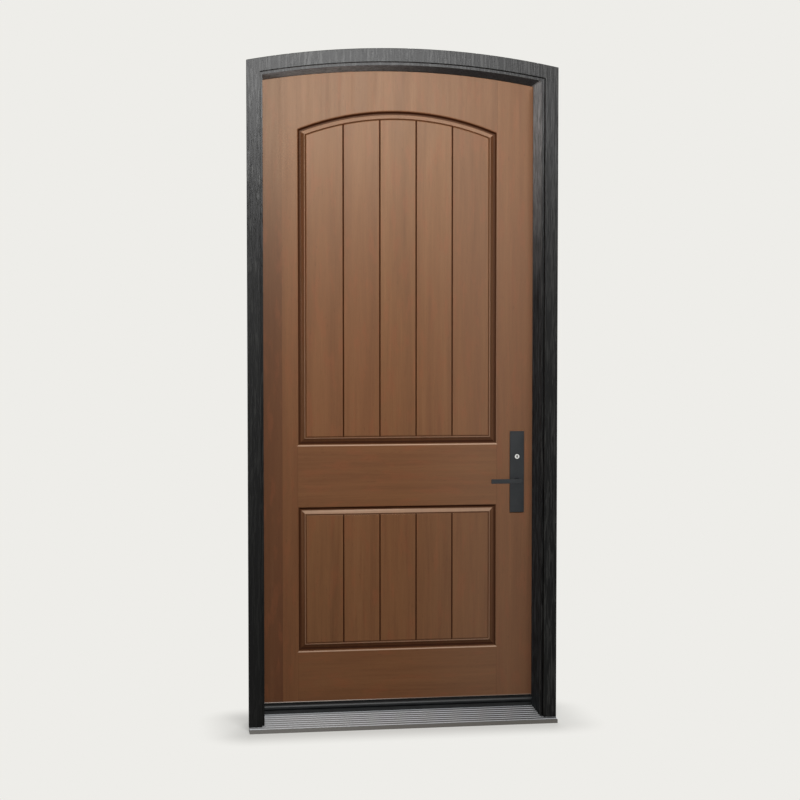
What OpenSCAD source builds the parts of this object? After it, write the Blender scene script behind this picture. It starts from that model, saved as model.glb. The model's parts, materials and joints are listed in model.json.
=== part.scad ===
// Arched fibreglass entry door hung in its own frame, closed, seen from outdoors at -Y.
// +X runs along the sill to the lock side, +Y goes indoors and +Z is up.
// The origin is on the underside of the sill, below the middle of the casing's front face.

/* [Slab] */
// Width of the slab
slab_w = 1067; // [960:1:1220]
// Height of the slab from its bottom edge to the crown of its arched top
slab_h = 2409; // [2250:1:2600]
// Thickness of the slab
slab_t = 44.5; // [42:0.5:57]
// Rise of the slab's arched top from its corners to its crown
slab_rise = 47.4; // [30:0.1:70]
// Thickness of each moulded skin
skin_t = 3; // [2.5:0.1:3.5]
// Width of the hinge stile inside the slab
hinge_stile_w = 45; // [40:1:70]
// Width of the lock stile inside the slab
lock_stile_w = 130; // [120:1:140]
// Height of the bottom rail inside the slab
core_bottom_rail_h = 60; // [40:1:120]
// Height of the top rail inside the slab, below the corners of the arch
core_top_rail_h = 50; // [40:1:100]

/* [Moulded panels] */
// Width of the moulded stile on each side of the panels
panel_stile_w = 148; // [145:1:180]
// Height of the moulded bottom rail
panel_bottom_h = 193; // [150:1:240]
// Height of the lower panel
lower_panel_h = 555; // [400:1:650]
// Height of the moulded middle rail
mid_rail_h = 233; // [150:1:260]
// Height of the moulded top rail at the crown
panel_top_h = 157; // [120:1:200]
// Rise of the upper panel's arched top
panel_rise = 75; // [40:1:110]
// Number of planks drawn on each panel
plank_count = 5; // [3:1:7]
// Width of the V groove between two planks
plank_groove_w = 6; // [4:0.5:8]
// Depth of the V groove between two planks
plank_groove_d = 3.2; // [2:0.1:4]
// Depth of the moulding's floor below the face of the slab
moulding_d = 9; // [7:0.5:11]
// Width of the rounded step from the face of the slab to the floor
cove_w = 10; // [8:0.5:13]
// Width of the floor of the moulding
floor_w = 4; // [3:0.5:6]
// Width of the bevel that rises from the floor to the raised field
bevel_w = 14; // [11:0.5:18]
// Width of the V groove round the raised field
quirk_w = 7; // [6:0.5:9]
// Depth of the V groove round the raised field
quirk_d = 2.8; // [2:0.1:3]
// How far the raised field lies below the face of the slab
field_drop = 1.2; // [1:0.1:2]

/* [Frame] */
// Gap between the slab and the frame
door_gap = 3; // [2.5:0.1:4]
// How far the stop covers the edge of the slab
stop_overlap = 8.8; // [8:0.1:11]
// Thickness of the jamb behind the rabbet
jamb_t = 20; // [19.5:0.5:30]
// Depth of the stop from the jamb's front edge to the rabbet
stop_depth = 140; // [90:1:180]
// Space for the seal between the stop and the slab
seal_gap = 6.3; // [5:0.1:8]
// How far the jamb's rear edge stands past the slab's inner face
jamb_lip = 1.2; // [1:0.1:3]
// Width of the casing
casing_w = 50; // [40:1:90]
// Thickness of the casing
casing_t = 18; // [15:0.5:30]
// Ledge of the jamb's front edge left bare beside the casing
casing_reveal = 9.4; // [6:0.1:12]

/* [Sill] */
// How far the sill stands out in front of the casing
sill_nose = 30; // [20:1:60]
// Height of the sill's front edge
sill_front_h = 15; // [10:0.5:20]
// Slope of the deck in degrees
deck_slope = 4.5; // [3:0.1:5]
// Thickness of the deck
deck_t = 2; // [1.5:0.1:3]
// How far each end of the sill stops short of the casing's outer edge
sill_inset = 1.5; // [1:0.5:10]
// Height of a ridge on the deck
ridge_h = 1.2; // [0.8:0.1:1.6]
// Width of a ridge on the deck
ridge_w = 8; // [6:0.5:10]
// Distance from one ridge on the deck to the next
ridge_pitch = 24; // [20:0.5:30]
// How far the riser stands out in front of the slab
riser_front = 15; // [12:0.5:20]
// Height of the riser's front step above the deck
riser_step_h = 11; // [7:0.5:14]
// Height of the groove below the threshold's nose
nose_groove_h = 2; // [1:0.1:3]
// Height of the top of the threshold above the floor
threshold_h = 64; // [62:0.5:80]
// Height of the sweep below the slab
sweep_h = 5.5; // [5:0.1:9]
// Number of levelling screws in the threshold
threshold_screw_count = 5; // [3:1:7]

/* [Hinges] */
// Number of hinges
hinge_count = 4; // [3:1:5]
// Height of a hinge
hinge_h = 114; // [100:1:127]
// Width of a hinge leaf from the pin to its free edge
leaf_w = 45; // [42:0.5:48]
// Thickness of a hinge leaf
leaf_t = 3.4; // [3:0.1:4]
// Outer radius of a hinge knuckle
knuckle_r = 7; // [6.5:0.1:8]
// Radius of a hinge pin
pin_r = 4; // [3.5:0.1:4.5]
// Height of the lowest hinge's middle above the bottom of the slab
hinge_low = 250; // [180:1:300]
// Height of the highest hinge's middle below the corner of the slab
hinge_high = 230; // [180:1:300]

/* [Handle set] */
// Height of the lever's axis above the floor
lever_z = 909; // [890:1:960]
// Distance from the lock edge of the slab to the lever's axis
backset = 69; // [66:0.5:74]
// Distance from the lever's axis up to the cylinder's axis
cylinder_rise = 92; // [85:0.5:100]
// Width of an escutcheon
plate_w = 55.5; // [45:0.5:64]
// Height of an escutcheon
plate_h = 314; // [304:1:340]
// Thickness of an escutcheon
plate_t = 8; // [7:0.5:10]
// How far an escutcheon reaches below the lever's axis
plate_drop = 124; // [118:1:130]
// Length of the lever from its axis to its tip
lever_len = 111; // [95:1:130]
// Height of the lever's bar
lever_h = 17; // [14:0.5:20]
// Thickness of the lever's bar
lever_t = 10; // [8:0.5:13]
// Distance from the slab to the front of the lever
lever_reach = 60; // [52:1:70]
// Radius of the lever's neck
neck_r = 10; // [9:0.5:11]
// Width of the square spindle
spindle_w = 8; // [7:0.5:9]
// Radius of the cylinder's face
cylinder_face_r = 8.8; // [8.4:0.1:11]
// Radius of the cylinder's body inside the slab
cylinder_r = 13; // [12:0.5:14]
// Radius of the key plug
plug_r = 6.4; // [6:0.1:7]
// Radius of the thumbturn's stem
stem_r = 6; // [5:0.1:6.5]

/* [Lock] */
// Thickness of the lock cases
case_t = 16; // [14:0.5:18]
// How far the main case reaches past the lever's axis, away from the lock edge
case_behind = 28; // [24:1:32]
// How far the main case reaches below the lever's axis and above the cylinder's axis
case_end = 56; // [50:1:60]
// Width of the faceplate on the slab's lock edge
faceplate_w = 20; // [19:0.5:24]
// Thickness of the faceplate
faceplate_t = 2.5; // [2:0.1:3]
// Thickness of the latch and of the bolts
bolt_t = 11; // [9:0.5:12]
// Height of the latch
latch_h = 28; // [24:1:32]
// How far the latch stands out of the slab's lock edge
latch_throw = 12; // [10:0.5:13]
// Height of the deadbolt and of the tongue bolts
bolt_h = 34; // [28:1:36]
// Travel of the deadbolt and of the tongue bolts
bolt_throw = 19; // [16:0.5:19]
// Height of the upper tongue bolt above the lever's axis
tongue_up = 700; // [500:1:850]
// Depth of the lower tongue bolt below the lever's axis
tongue_down = 560; // [400:1:580]
// Thickness of the strike plates
strike_t = 2; // [1.5:0.1:3]

/* [Hidden] */
$fa = 3;
$fs = 0.5;
// Overlap of a cut past the face it opens
cut = 1;
// Clearances: faces that pass each other, pieces let into a pocket, a running fit and a screw in its hole
pass_clear = 0.3;
pocket_clear = 0.2;
run_clear = 0.05;
screw_clear = 0.05;

// Depths along Y, from the casing's front face to the jamb's rear edge
stop_y = casing_t + stop_depth;
slab_y0 = stop_y + seal_gap;
slab_y1 = slab_y0 + slab_t;
mid_y = slab_y0 + slab_t / 2;
jamb_y1 = slab_y1 + jamb_lip;

// Heights of the slab and the arch that the whole frame shares
slab_z0 = threshold_h + pass_clear + sweep_h;
slab_edge = slab_w / 2;
slab_r = (slab_edge * slab_edge + slab_rise * slab_rise) / (2 * slab_rise);
arch_z = slab_z0 + slab_h - slab_r;
slab_corner_z = slab_z0 + slab_h - slab_rise;
arch_facets = 720;

// Frame members are strips that lie outside the stop's inner face by these distances
stop_x = slab_edge - stop_overlap;
stop_r = slab_r - stop_overlap;
rabbet_a = stop_overlap + door_gap;
jamb_a = rabbet_a + jamb_t;
casing_a = casing_reveal + casing_w;
rabbet_x = stop_x + rabbet_a;
seal_inset = 0.8;
seal_a0 = seal_inset;
seal_a1 = stop_overlap - seal_inset;

// Panels: half width, bottom, top and, on the upper one, its arch
panel_half = slab_edge - panel_stile_w;
lower_z0 = slab_z0 + panel_bottom_h;
lower_z1 = lower_z0 + lower_panel_h;
upper_z0 = lower_z1 + mid_rail_h;
upper_z1 = slab_z0 + slab_h - panel_top_h;
panel_r = (panel_half * panel_half + panel_rise * panel_rise) / (2 * panel_rise);

// Moulding: distances inwards from the panel's outline
bevel_s = cove_w + floor_w;
quirk_s = bevel_s + bevel_w;
quirk_mid_s = quirk_s + quirk_w / 2;
border_w = quirk_s + quirk_w;
plank_w = 2 * (panel_half - border_w) / plank_count;
// How far a wall of a V groove is drawn on past its end, as a share of its depth
v_extend = 0.3;

// Sill
sill_half = stop_x + casing_a - sill_inset;
deck_drop = deck_t / cos(deck_slope);
riser_y0 = slab_y0 - riser_front;
nose_z0 = deck_z(riser_y0) + riser_step_h + nose_groove_h;
nose_r = (threshold_h - nose_z0) / 2;
riser_ledge = 4;
nose_back = 1;
level_sunk = 1;
level_head_r = 5;
level_head_h = 4;
level_screw_r = 2.5;
level_screw_l = 24;

// Hinges
hinge_x = -slab_edge - door_gap / 2;
hinge_y = jamb_y1 + knuckle_r + 2 * pass_clear;
hinge_step = (slab_corner_z - hinge_high - slab_z0 - hinge_low) / (hinge_count - 1);
knuckle_count = 5;
knuckle_h = hinge_h / knuckle_count;
leaf_screw_y = [8, 22];
leaf_screw_z = [0.12, 0.38];
wood_screw_r = 2;
wood_head_r = 4;
wood_head_h = 2.2;
// Wood left behind the point of a screw in the jamb
screw_cover = 3;
jamb_screw_l = jamb_t - screw_cover;
stile_screw_l = 32;

// Handle set and lock
lock_x = slab_edge - backset;
cylinder_z = lever_z + cylinder_rise;
plate_z0 = lever_z - plate_drop;
plate_bolt_inset = 20;
plate_bolt_z = [plate_z0 + plate_bolt_inset, plate_z0 + plate_h - plate_bolt_inset];
plate_bolt_r = 2.5;
plate_bolt_head_r = 4.5;
plate_bolt_head_h = 2.5;
lever_hole_r = neck_r + 2;
socket_d = 20;
socket_w = spindle_w + 2 * run_clear;
face_stand = 1;
plug_l = 26;
stem_in = 8;
turn_base_r = 12;
turn_base_t = 3;
turn_w = 9;
turn_h = 32;
turn_l = 16;
keyway_w = 3;
keyway_h = 10;
keyway_end = 5;
case_x0 = lock_x - case_behind;
case_x1 = slab_edge - faceplate_t;
case_z0 = lever_z - case_end;
case_z1 = cylinder_z + case_end;
latch_tail = 38;
bolt_tail = 42;
tongue_case_d = 46;
tongue_case_h = 110;
tongue_z = [lever_z - tongue_down, lever_z + tongue_up];
faceplate_end = 90;
faceplate_z0 = tongue_z[0] - faceplate_end;
faceplate_z1 = tongue_z[1] + faceplate_end;
faceplate_screw_inset = 12;
faceplate_screw_z = [
    faceplate_z0 + faceplate_screw_inset, case_z0 - faceplate_screw_inset,
    case_z1 + faceplate_screw_inset, faceplate_z1 - faceplate_screw_inset
];
strike_w = 26;
strike_play = 1.5;
strike_end = 24;
strike_screw_l = jamb_t - strike_t - screw_cover;
strike_screw_inset = 10;
// Bottom and top of each strike: the centre one, the lower one and the upper one
strike_ends = concat(
    [[lever_z - latch_h / 2 - strike_end, cylinder_z + bolt_h / 2 + strike_end]],
    [for (z = tongue_z) [z - bolt_h / 2 - strike_end, z + bolt_h / 2 + strike_end]]
);

paint_black = "#242321";
wood_brown = "#76523a";
foam_yellow = "#d8c79a";
lumber = "#b98f5e";
mill_aluminium = "#9c9b97";
seal_black = "#161616";
bronze_black = "#35383a";
zinc_grey = "#8d8f90";
bright_steel = "#cfd0d0";

// Shared outlines, drawn in X and Z

// Height of the deck's top face at a depth y
function deck_z(y) = sill_front_h + (y + sill_nose) * tan(deck_slope);

// Middle height of hinge number i, counted from the bottom
function hinge_z(i) = slab_z0 + hinge_low + (i - 1) * hinge_step;

// Inner top corner of a frame strip that starts a outside the stop's face
function corner(a) = [stop_x + a, arch_z + sqrt(pow(stop_r + a, 2) - pow(stop_x + a, 2))];

// A flat outline in X and Z made into a plate from depth y0 to depth y1
module upright(y0, y1) {
    translate([0, y1, 0]) rotate([90, 0, 0]) linear_extrude(y1 - y0) children();
}

// A section in Y and Z made into a bar along X
module along_x(x0, x1) {
    translate([x0, 0, 0]) rotate([90, 0, 90]) linear_extrude(x1 - x0) children();
}

module arch_disc(r) {
    translate([0, arch_z]) circle(r, $fn = arch_facets);
}

// Upright strip on the +X side, mitred to the head at its top
module side_strip(a, b, z0) {
    polygon([[stop_x + a, z0], [stop_x + b, z0], corner(b), corner(a)]);
}

// Arched strip over the door, mitred to the side strips at its ends
module head_strip(a, b) {
    inner = corner(a);
    outer = corner(b);
    top = arch_z + stop_r + b + cut;
    intersection() {
        polygon([
            [-inner[0], inner[1]], inner, outer, [outer[0], top],
            [-outer[0], top], [-outer[0], outer[1]]
        ]);
        difference() {
            arch_disc(stop_r + b);
            arch_disc(stop_r + a);
        }
    }
}

module slab_outline() {
    intersection() {
        translate([-slab_edge, slab_z0]) square([slab_w, slab_h]);
        arch_disc(slab_r);
    }
}

// A slice of the slab's outline between two X and above one height
module slab_slice(x0, x1, z0, z1) {
    intersection() {
        slab_outline();
        translate([x0, z0]) square([x1 - x0, z1 - z0]);
    }
}

// Moulded panels
// A profile is a list of [s, y]: s inwards from the panel's outline, y into the slab from its face.
// The form swept round a panel is the part common to the forms of its single edges,
// because the profile only falls, or only rises, on its way inwards.

function recess_profile() = [
    [0, -cut], [0, 0], [0.15 * cove_w, 0.05 * moulding_d], [0.34 * cove_w, 0.18 * moulding_d],
    [0.5 * cove_w, 0.38 * moulding_d], [0.68 * cove_w, 0.72 * moulding_d], [cove_w, moulding_d]
];
function field_profile() =
    let (run = bevel_w / (moulding_d - field_drop))
    [[bevel_s - run * cut, moulding_d + cut], [quirk_s, field_drop]];
function quirk_outer_profile() = [
    [quirk_s - v_extend * quirk_w / 2, field_drop - v_extend * quirk_d],
    [quirk_mid_s, field_drop + quirk_d]
];
function quirk_inner_profile() = [
    [quirk_mid_s - v_extend * quirk_w / 2, field_drop + (1 + v_extend) * quirk_d],
    [border_w + 2 * v_extend * quirk_w / 2, field_drop - 2 * v_extend * quirk_d]
];
function plank_end_profile() = [[quirk_mid_s, -cut], [quirk_mid_s, moulding_d]];

// Both edges of a section from low to high, as a closed outline of [position, y]
function both_edges(low, high, profile) = concat(
    [for (p = profile) [low + p[0], p[1]]],
    [for (i = [len(profile) - 1 : -1 : 0]) [high - profile[i][0], profile[i][1]]]
);

// Form with straight edges at the sides, the bottom and the top
module straight_form(z0, z1, profile) {
    intersection() {
        translate([0, 0, z0 - cut])
            linear_extrude(z1 - z0 + 2 * cut) polygon(both_edges(-panel_half, panel_half, profile));
        along_x(-panel_half - cut, panel_half + cut)
            polygon([for (p = both_edges(z0, z1, profile)) [p[1], p[0]]]);
    }
}

// Form with straight sides and bottom and an arched top
module arched_form(z0, z1, profile) {
    first = profile[0];
    last = profile[len(profile) - 1];
    intersection() {
        straight_form(z0, z1 + 2 * border_w, profile);
        translate([0, 0, z1 - panel_r]) rotate([-90, 0, 0]) rotate_extrude($fn = arch_facets)
            polygon(concat([for (p = profile) [panel_r - p[0], p[1]]], [[0, last[1]], [0, first[1]]]));
    }
}

module panel_form(arched, profile) {
    if (arched) arched_form(upper_z0, upper_z1, profile);
    else straight_form(lower_z0, lower_z1, profile);
}

// V grooves between the planks, which end in the groove round the field
module plank_grooves(arched) {
    half = plank_groove_w / 2;
    first_x = -(plank_count / 2 - 1) * plank_w;
    intersection() {
        panel_form(arched, plank_end_profile());
        translate([0, 0, slab_z0]) linear_extrude(slab_h)
            for (i = [0 : plank_count - 2])
                translate([first_x + i * plank_w, field_drop]) polygon([
                    [-half * (1 + v_extend), -v_extend * plank_groove_d],
                    [half * (1 + v_extend), -v_extend * plank_groove_d],
                    [0, plank_groove_d]
                ]);
    }
}

// Everything that the mould takes out of the flat face of the slab at one panel
module panel_hollow(arched) {
    difference() {
        panel_form(arched, recess_profile());
        panel_form(arched, field_profile());
    }
    difference() {
        panel_form(arched, quirk_outer_profile());
        panel_form(arched, quirk_inner_profile());
    }
    plank_grooves(arched);
}

module face_hollows(y) {
    translate([0, y, 0]) {
        panel_hollow(true);
        panel_hollow(false);
    }
}

// A skin follows its mould: the same hollows show on its back, one thickness deeper
module moulded_skin() {
    difference() {
        union() {
            upright(0, skin_t) slab_outline();
            face_hollows(skin_t);
        }
        face_hollows(0);
    }
}

module outer_face() {
    translate([0, slab_y0, 0]) children();
}

module inner_face() {
    translate([0, slab_y1, 0]) mirror([0, 1, 0]) children();
}

// Fasteners and holes

// Countersunk screw with its head at the origin and its point at +Z, or the hole for it
module wood_screw(length, extra = 0) {
    rotate_extrude($fn = 32) polygon([
        [0, -extra], [wood_head_r + extra, -extra], [wood_head_r + extra, 0],
        [wood_screw_r + extra, wood_head_h], [wood_screw_r + extra, length + extra], [0, length + extra]
    ]);
}

// Children at each screw of a hinge leaf, with +Z pointing to +X
module at_leaf_screws(x) {
    for (i = [1 : hinge_count], y = leaf_screw_y, side = [-1, 1], z = leaf_screw_z)
        translate([x, hinge_y - leaf_w + y, hinge_z(i) + side * z * hinge_h])
            rotate([0, 90, 0]) children();
}

module at_jamb_leaf_screws() {
    mirror([1, 0, 0]) at_leaf_screws(rabbet_x) children();
}

module jamb_screw_holes() {
    at_jamb_leaf_screws() wood_screw(jamb_screw_l, screw_clear);
}

module stile_screw_holes() {
    at_leaf_screws(-slab_edge) wood_screw(stile_screw_l, screw_clear);
}

// Children at the axes of the two bolts that draw the escutcheons together, with +Z to indoors
module at_plate_bolts(y) {
    for (z = plate_bolt_z)
        translate([lock_x, y, z]) rotate([-90, 0, 0]) children();
}

// A round bar or bore along Y
module bar_y(x, z, r, y0, y1) {
    translate([x, y0, z]) rotate([-90, 0, 0]) cylinder(h = y1 - y0, r = r);
}

// Holes that the handle set needs right through the slab
module handle_holes() {
    bar_y(lock_x, lever_z, lever_hole_r, slab_y0 - cut, slab_y1 + cut);
    bar_y(lock_x, cylinder_z, cylinder_r + pocket_clear, slab_y0 - cut, slab_y1 + cut);
    for (z = plate_bolt_z)
        bar_y(lock_x, z, plate_bolt_r + pocket_clear, slab_y0 - cut, slab_y1 + cut);
}

// A block centred on the slab's middle depth
module mid_block(x0, x1, depth, z0, z1) {
    translate([x0, mid_y - depth / 2, z0]) cube([x1 - x0, depth, z1 - z0]);
}

// Window for a latch or a bolt of height h whose middle is at z
module bolt_window(x0, x1, z, h, play) {
    mid_block(x0, x1, bolt_t + 2 * play, z - h / 2 - play, z + h / 2 + play);
}

// Frame

module below_deck() {
    far = slab_w;
    along_x(-far, far) polygon([
        [-far, deck_z(-far)], [-far, -far], [far, -far], [far, deck_z(far)]
    ]);
}

// One side jamb on the +X side: stop, rabbet and a foot cut to the slope of the deck
module side_jamb() {
    difference() {
        upright(casing_t, jamb_y1) side_strip(0, jamb_a, 0);
        upright(stop_y, jamb_y1 + cut) translate([0, -cut]) square([rabbet_x, slab_z0 + slab_h]);
        below_deck();
    }
}

module hinge_jamb() {
    color(paint_black) difference() {
        mirror([1, 0, 0]) side_jamb();
        for (i = [1 : hinge_count])
            translate([-rabbet_x - leaf_t, hinge_y - leaf_w, hinge_z(i) - hinge_h / 2])
                cube([leaf_t + cut, leaf_w, hinge_h]);
        jamb_screw_holes();
    }
}

module strike_jamb() {
    pocket_x = slab_edge + bolt_throw + strike_play;
    color(paint_black) difference() {
        side_jamb();
        strike_plates(cut, pocket_clear);
        bolt_window(rabbet_x - cut, pocket_x, lever_z, latch_h, strike_play);
        bolt_window(rabbet_x - cut, pocket_x, cylinder_z, bolt_h, strike_play);
        for (z = tongue_z)
            bolt_window(rabbet_x - cut, pocket_x, z, bolt_h, strike_play);
        at_strike_screws() wood_screw(strike_screw_l, screw_clear);
    }
}

module head_jamb() {
    color(paint_black) difference() {
        upright(casing_t, jamb_y1) head_strip(0, jamb_a);
        upright(stop_y, jamb_y1 + cut) arch_disc(stop_r + rabbet_a);
    }
}

module side_casing() {
    difference() {
        upright(0, casing_t) side_strip(casing_reveal, casing_a, 0);
        below_deck();
    }
}

module hinge_side_casing() {
    color(paint_black) mirror([1, 0, 0]) side_casing();
}

module strike_side_casing() {
    color(paint_black) side_casing();
}

module head_casing() {
    color(paint_black) upright(0, casing_t) head_strip(casing_reveal, casing_a);
}

module side_seal() {
    upright(stop_y, slab_y0 - pass_clear) side_strip(seal_a0, seal_a1, threshold_h + pass_clear);
}

module hinge_side_seal() {
    color(seal_black) mirror([1, 0, 0]) side_seal();
}

module strike_side_seal() {
    color(seal_black) side_seal();
}

module head_seal() {
    color(seal_black) upright(stop_y, slab_y0 - pass_clear) head_strip(seal_a0, seal_a1);
}

// Sill

// A length of the sill: full width in front of the casing, and no wider than the jambs behind it
module sill_length() {
    behind = jamb_y1 - casing_t + cut;
    difference() {
        along_x(-sill_half, sill_half) children();
        for (side = [-1, 1])
            translate([side * (stop_x + jamb_a + slab_w / 2) - slab_w / 2, casing_t, -cut])
                cube([slab_w, behind, threshold_h]);
    }
}

module sill_base() {
    y0 = -sill_nose + deck_t;
    color(seal_black) sill_length() polygon([
        [y0, 0], [jamb_y1, 0], [jamb_y1, deck_z(jamb_y1) - deck_drop], [y0, deck_z(y0) - deck_drop]
    ]);
}

// One ridge across the deck at a depth y, as far as reach to either side
module deck_ridge(y, reach) {
    foot = ridge_w / 2;
    top = ridge_w / 4;
    along_x(-reach, reach) polygon([
        [y - foot, deck_z(y - foot) - deck_t / 2], [y + foot, deck_z(y + foot) - deck_t / 2],
        [y + foot, deck_z(y + foot)], [y + top, deck_z(y + top) + ridge_h],
        [y - top, deck_z(y - top) + ridge_h], [y - foot, deck_z(y - foot)]
    ]);
}

// The ridge in front of the casing runs the whole length; those behind it stop between the jambs
module sill_deck() {
    y0 = -sill_nose;
    y1 = y0 + deck_t;
    first_ridge = y0 + ridge_w;
    last_ridge = riser_y0 - ridge_w;
    color(mill_aluminium) {
        sill_length() polygon([
            [y0, 0], [y1, 0], [y1, deck_z(y1) - deck_drop],
            [jamb_y1, deck_z(jamb_y1) - deck_drop], [jamb_y1, deck_z(jamb_y1)], [y0, deck_z(y0)]
        ]);
        for (y = [first_ridge : ridge_pitch : last_ridge])
            deck_ridge(y, y < -ridge_w ? sill_half : stop_x - pass_clear);
    }
}

// A bar between the jambs, notched round their stops
module between_jambs() {
    reach = rabbet_x - pocket_clear;
    difference() {
        along_x(-reach, reach) children();
        for (side = [-1, 1])
            translate([side * (stop_x - pocket_clear + slab_w / 2) - slab_w / 2, -sill_nose, 0])
                cube([slab_w, stop_y + pocket_clear + sill_nose, threshold_h + cut]);
    }
}

module at_threshold_screws(z) {
    spacing = 2 * stop_x / threshold_screw_count;
    for (i = [0 : threshold_screw_count - 1])
        translate([(i - (threshold_screw_count - 1) / 2) * spacing, mid_y, z]) children();
}

// Levelling screw, head up, with its top at the origin
module threshold_screw(extra = 0) {
    rotate_extrude($fn = 32) polygon([
        [0, extra], [level_head_r + extra, extra], [level_head_r + extra, -level_head_h],
        [level_screw_r + extra, -level_head_h], [level_screw_r + extra, -level_screw_l - extra],
        [0, -level_screw_l - extra]
    ]);
}

module sill_riser() {
    step_z = nose_z0 - nose_groove_h;
    color(seal_black) difference() {
        between_jambs() polygon([
            [riser_y0, deck_z(riser_y0)], [jamb_y1, deck_z(jamb_y1)], [jamb_y1, nose_z0],
            [riser_y0 + riser_ledge, nose_z0], [riser_y0 + riser_ledge, step_z], [riser_y0, step_z]
        ]);
        at_threshold_screws(threshold_h - level_sunk) threshold_screw(screw_clear);
    }
}

module threshold_cap() {
    y0 = riser_y0 + nose_back + nose_r;
    color(seal_black) difference() {
        between_jambs() {
            translate([y0, nose_z0 + nose_r]) circle(nose_r);
            translate([y0, nose_z0]) square([jamb_y1 - jamb_lip - y0, 2 * nose_r]);
        }
        at_threshold_screws(threshold_h - level_sunk) threshold_screw(screw_clear);
        at_threshold_screws(threshold_h - cut) cylinder(h = 2 * cut, r = level_head_r + screw_clear);
    }
}

module threshold_screws() {
    color(zinc_grey) at_threshold_screws(threshold_h - level_sunk) threshold_screw();
}

// Strikes

module strike_plate(ends, front, play) {
    translate([rabbet_x - front, mid_y - strike_w / 2 - play, ends[0] - play])
        cube([strike_t + front, strike_w + 2 * play, ends[1] - ends[0] + 2 * play]);
}

// The outlines of all strikes, grown by play at their edges and by front at their face
module strike_plates(front, play) {
    for (ends = strike_ends)
        strike_plate(ends, front, play);
}

module at_strike_screws() {
    for (ends = strike_ends, z = [ends[0] + strike_screw_inset, ends[1] - strike_screw_inset])
        translate([rabbet_x, mid_y, z]) rotate([0, 90, 0]) children();
}

module strike_holes() {
    x1 = rabbet_x + strike_t + cut;
    bolt_window(rabbet_x - cut, x1, lever_z, latch_h, strike_play);
    bolt_window(rabbet_x - cut, x1, cylinder_z, bolt_h, strike_play);
    for (z = tongue_z)
        bolt_window(rabbet_x - cut, x1, z, bolt_h, strike_play);
    at_strike_screws() wood_screw(strike_screw_l, screw_clear);
}

module strike(ends) {
    color(zinc_grey) difference() {
        strike_plate(ends, 0, 0);
        strike_holes();
    }
}

module centre_strike() {
    strike(strike_ends[0]);
}

module lower_strike() {
    strike(strike_ends[1]);
}

module upper_strike() {
    strike(strike_ends[2]);
}

module strike_screws() {
    color(zinc_grey) at_strike_screws() wood_screw(strike_screw_l);
}

// Hinges

// One leaf: a plate from x0 to x0 + leaf_t and the knuckles whose numbers are listed
module hinge_leaf(i, x0, knuckles) {
    z0 = hinge_z(i) - hinge_h / 2;
    difference() {
        union() {
            translate([x0, hinge_y - leaf_w, z0])
                cube([leaf_t, leaf_w - knuckle_r - pass_clear, hinge_h]);
            for (k = knuckles)
                translate([0, 0, z0 + k * knuckle_h + pass_clear / 2]) {
                    translate([hinge_x, hinge_y, 0]) cylinder(h = knuckle_h - pass_clear, r = knuckle_r);
                    translate([x0, hinge_y - knuckle_r - cut, 0])
                        cube([leaf_t, knuckle_r + cut, knuckle_h - pass_clear]);
                }
        }
        translate([hinge_x, hinge_y, z0 - cut]) cylinder(h = hinge_h + 2 * cut, r = pin_r + run_clear);
    }
}

module jamb_hinge_leaf(i) {
    color(bronze_black) difference() {
        hinge_leaf(i, -rabbet_x - leaf_t, [0, 2, 4]);
        jamb_screw_holes();
    }
}

module door_hinge_leaf(i) {
    color(bronze_black) difference() {
        hinge_leaf(i, -slab_edge, [1, 3]);
        stile_screw_holes();
    }
}

module hinge_pin(i) {
    tip_h = 3;
    pin_step = 1;
    z0 = hinge_z(i) - hinge_h / 2;
    color(bronze_black) translate([hinge_x, hinge_y, z0]) {
        translate([0, 0, -pass_clear]) cylinder(h = hinge_h + 2 * pass_clear, r = pin_r);
        for (z = [-pass_clear - tip_h, hinge_h + pass_clear])
            translate([0, 0, z]) cylinder(h = tip_h, r = knuckle_r - pin_step);
    }
}

module jamb_leaf_screws() {
    color(bronze_black) at_jamb_leaf_screws() wood_screw(jamb_screw_l);
}

module door_leaf_screws() {
    color(bronze_black) at_leaf_screws(-slab_edge) wood_screw(stile_screw_l);
}

// Hollows for the door leaves in the hinge edge of the slab
module leaf_mortises() {
    for (i = [1 : hinge_count])
        translate([-slab_edge - cut, hinge_y - leaf_w, hinge_z(i) - hinge_h / 2])
            cube([leaf_t + cut, leaf_w, hinge_h]);
}

// Slab

module exterior_skin() {
    color(wood_brown) difference() {
        outer_face() moulded_skin();
        handle_holes();
    }
}

module interior_skin() {
    color(wood_brown) difference() {
        inner_face() moulded_skin();
        handle_holes();
        leaf_mortises();
    }
}

core_x0 = -slab_edge + hinge_stile_w;
core_x1 = slab_edge - lock_stile_w;
core_z0 = slab_z0 + core_bottom_rail_h;
core_z1 = slab_corner_z - core_top_rail_h;

// A piece that lies between the two skins
module between_skins() {
    upright(slab_y0 + skin_t, slab_y1 - skin_t) children();
}

module foam_core() {
    color(foam_yellow) difference() {
        between_skins() slab_slice(core_x0, core_x1, core_z0, core_z1);
        outer_face() face_hollows(skin_t);
        inner_face() face_hollows(skin_t);
    }
}

module hinge_stile() {
    color(lumber) difference() {
        between_skins() slab_slice(-slab_edge, core_x0, slab_z0, slab_z0 + slab_h);
        leaf_mortises();
        stile_screw_holes();
    }
}

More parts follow.
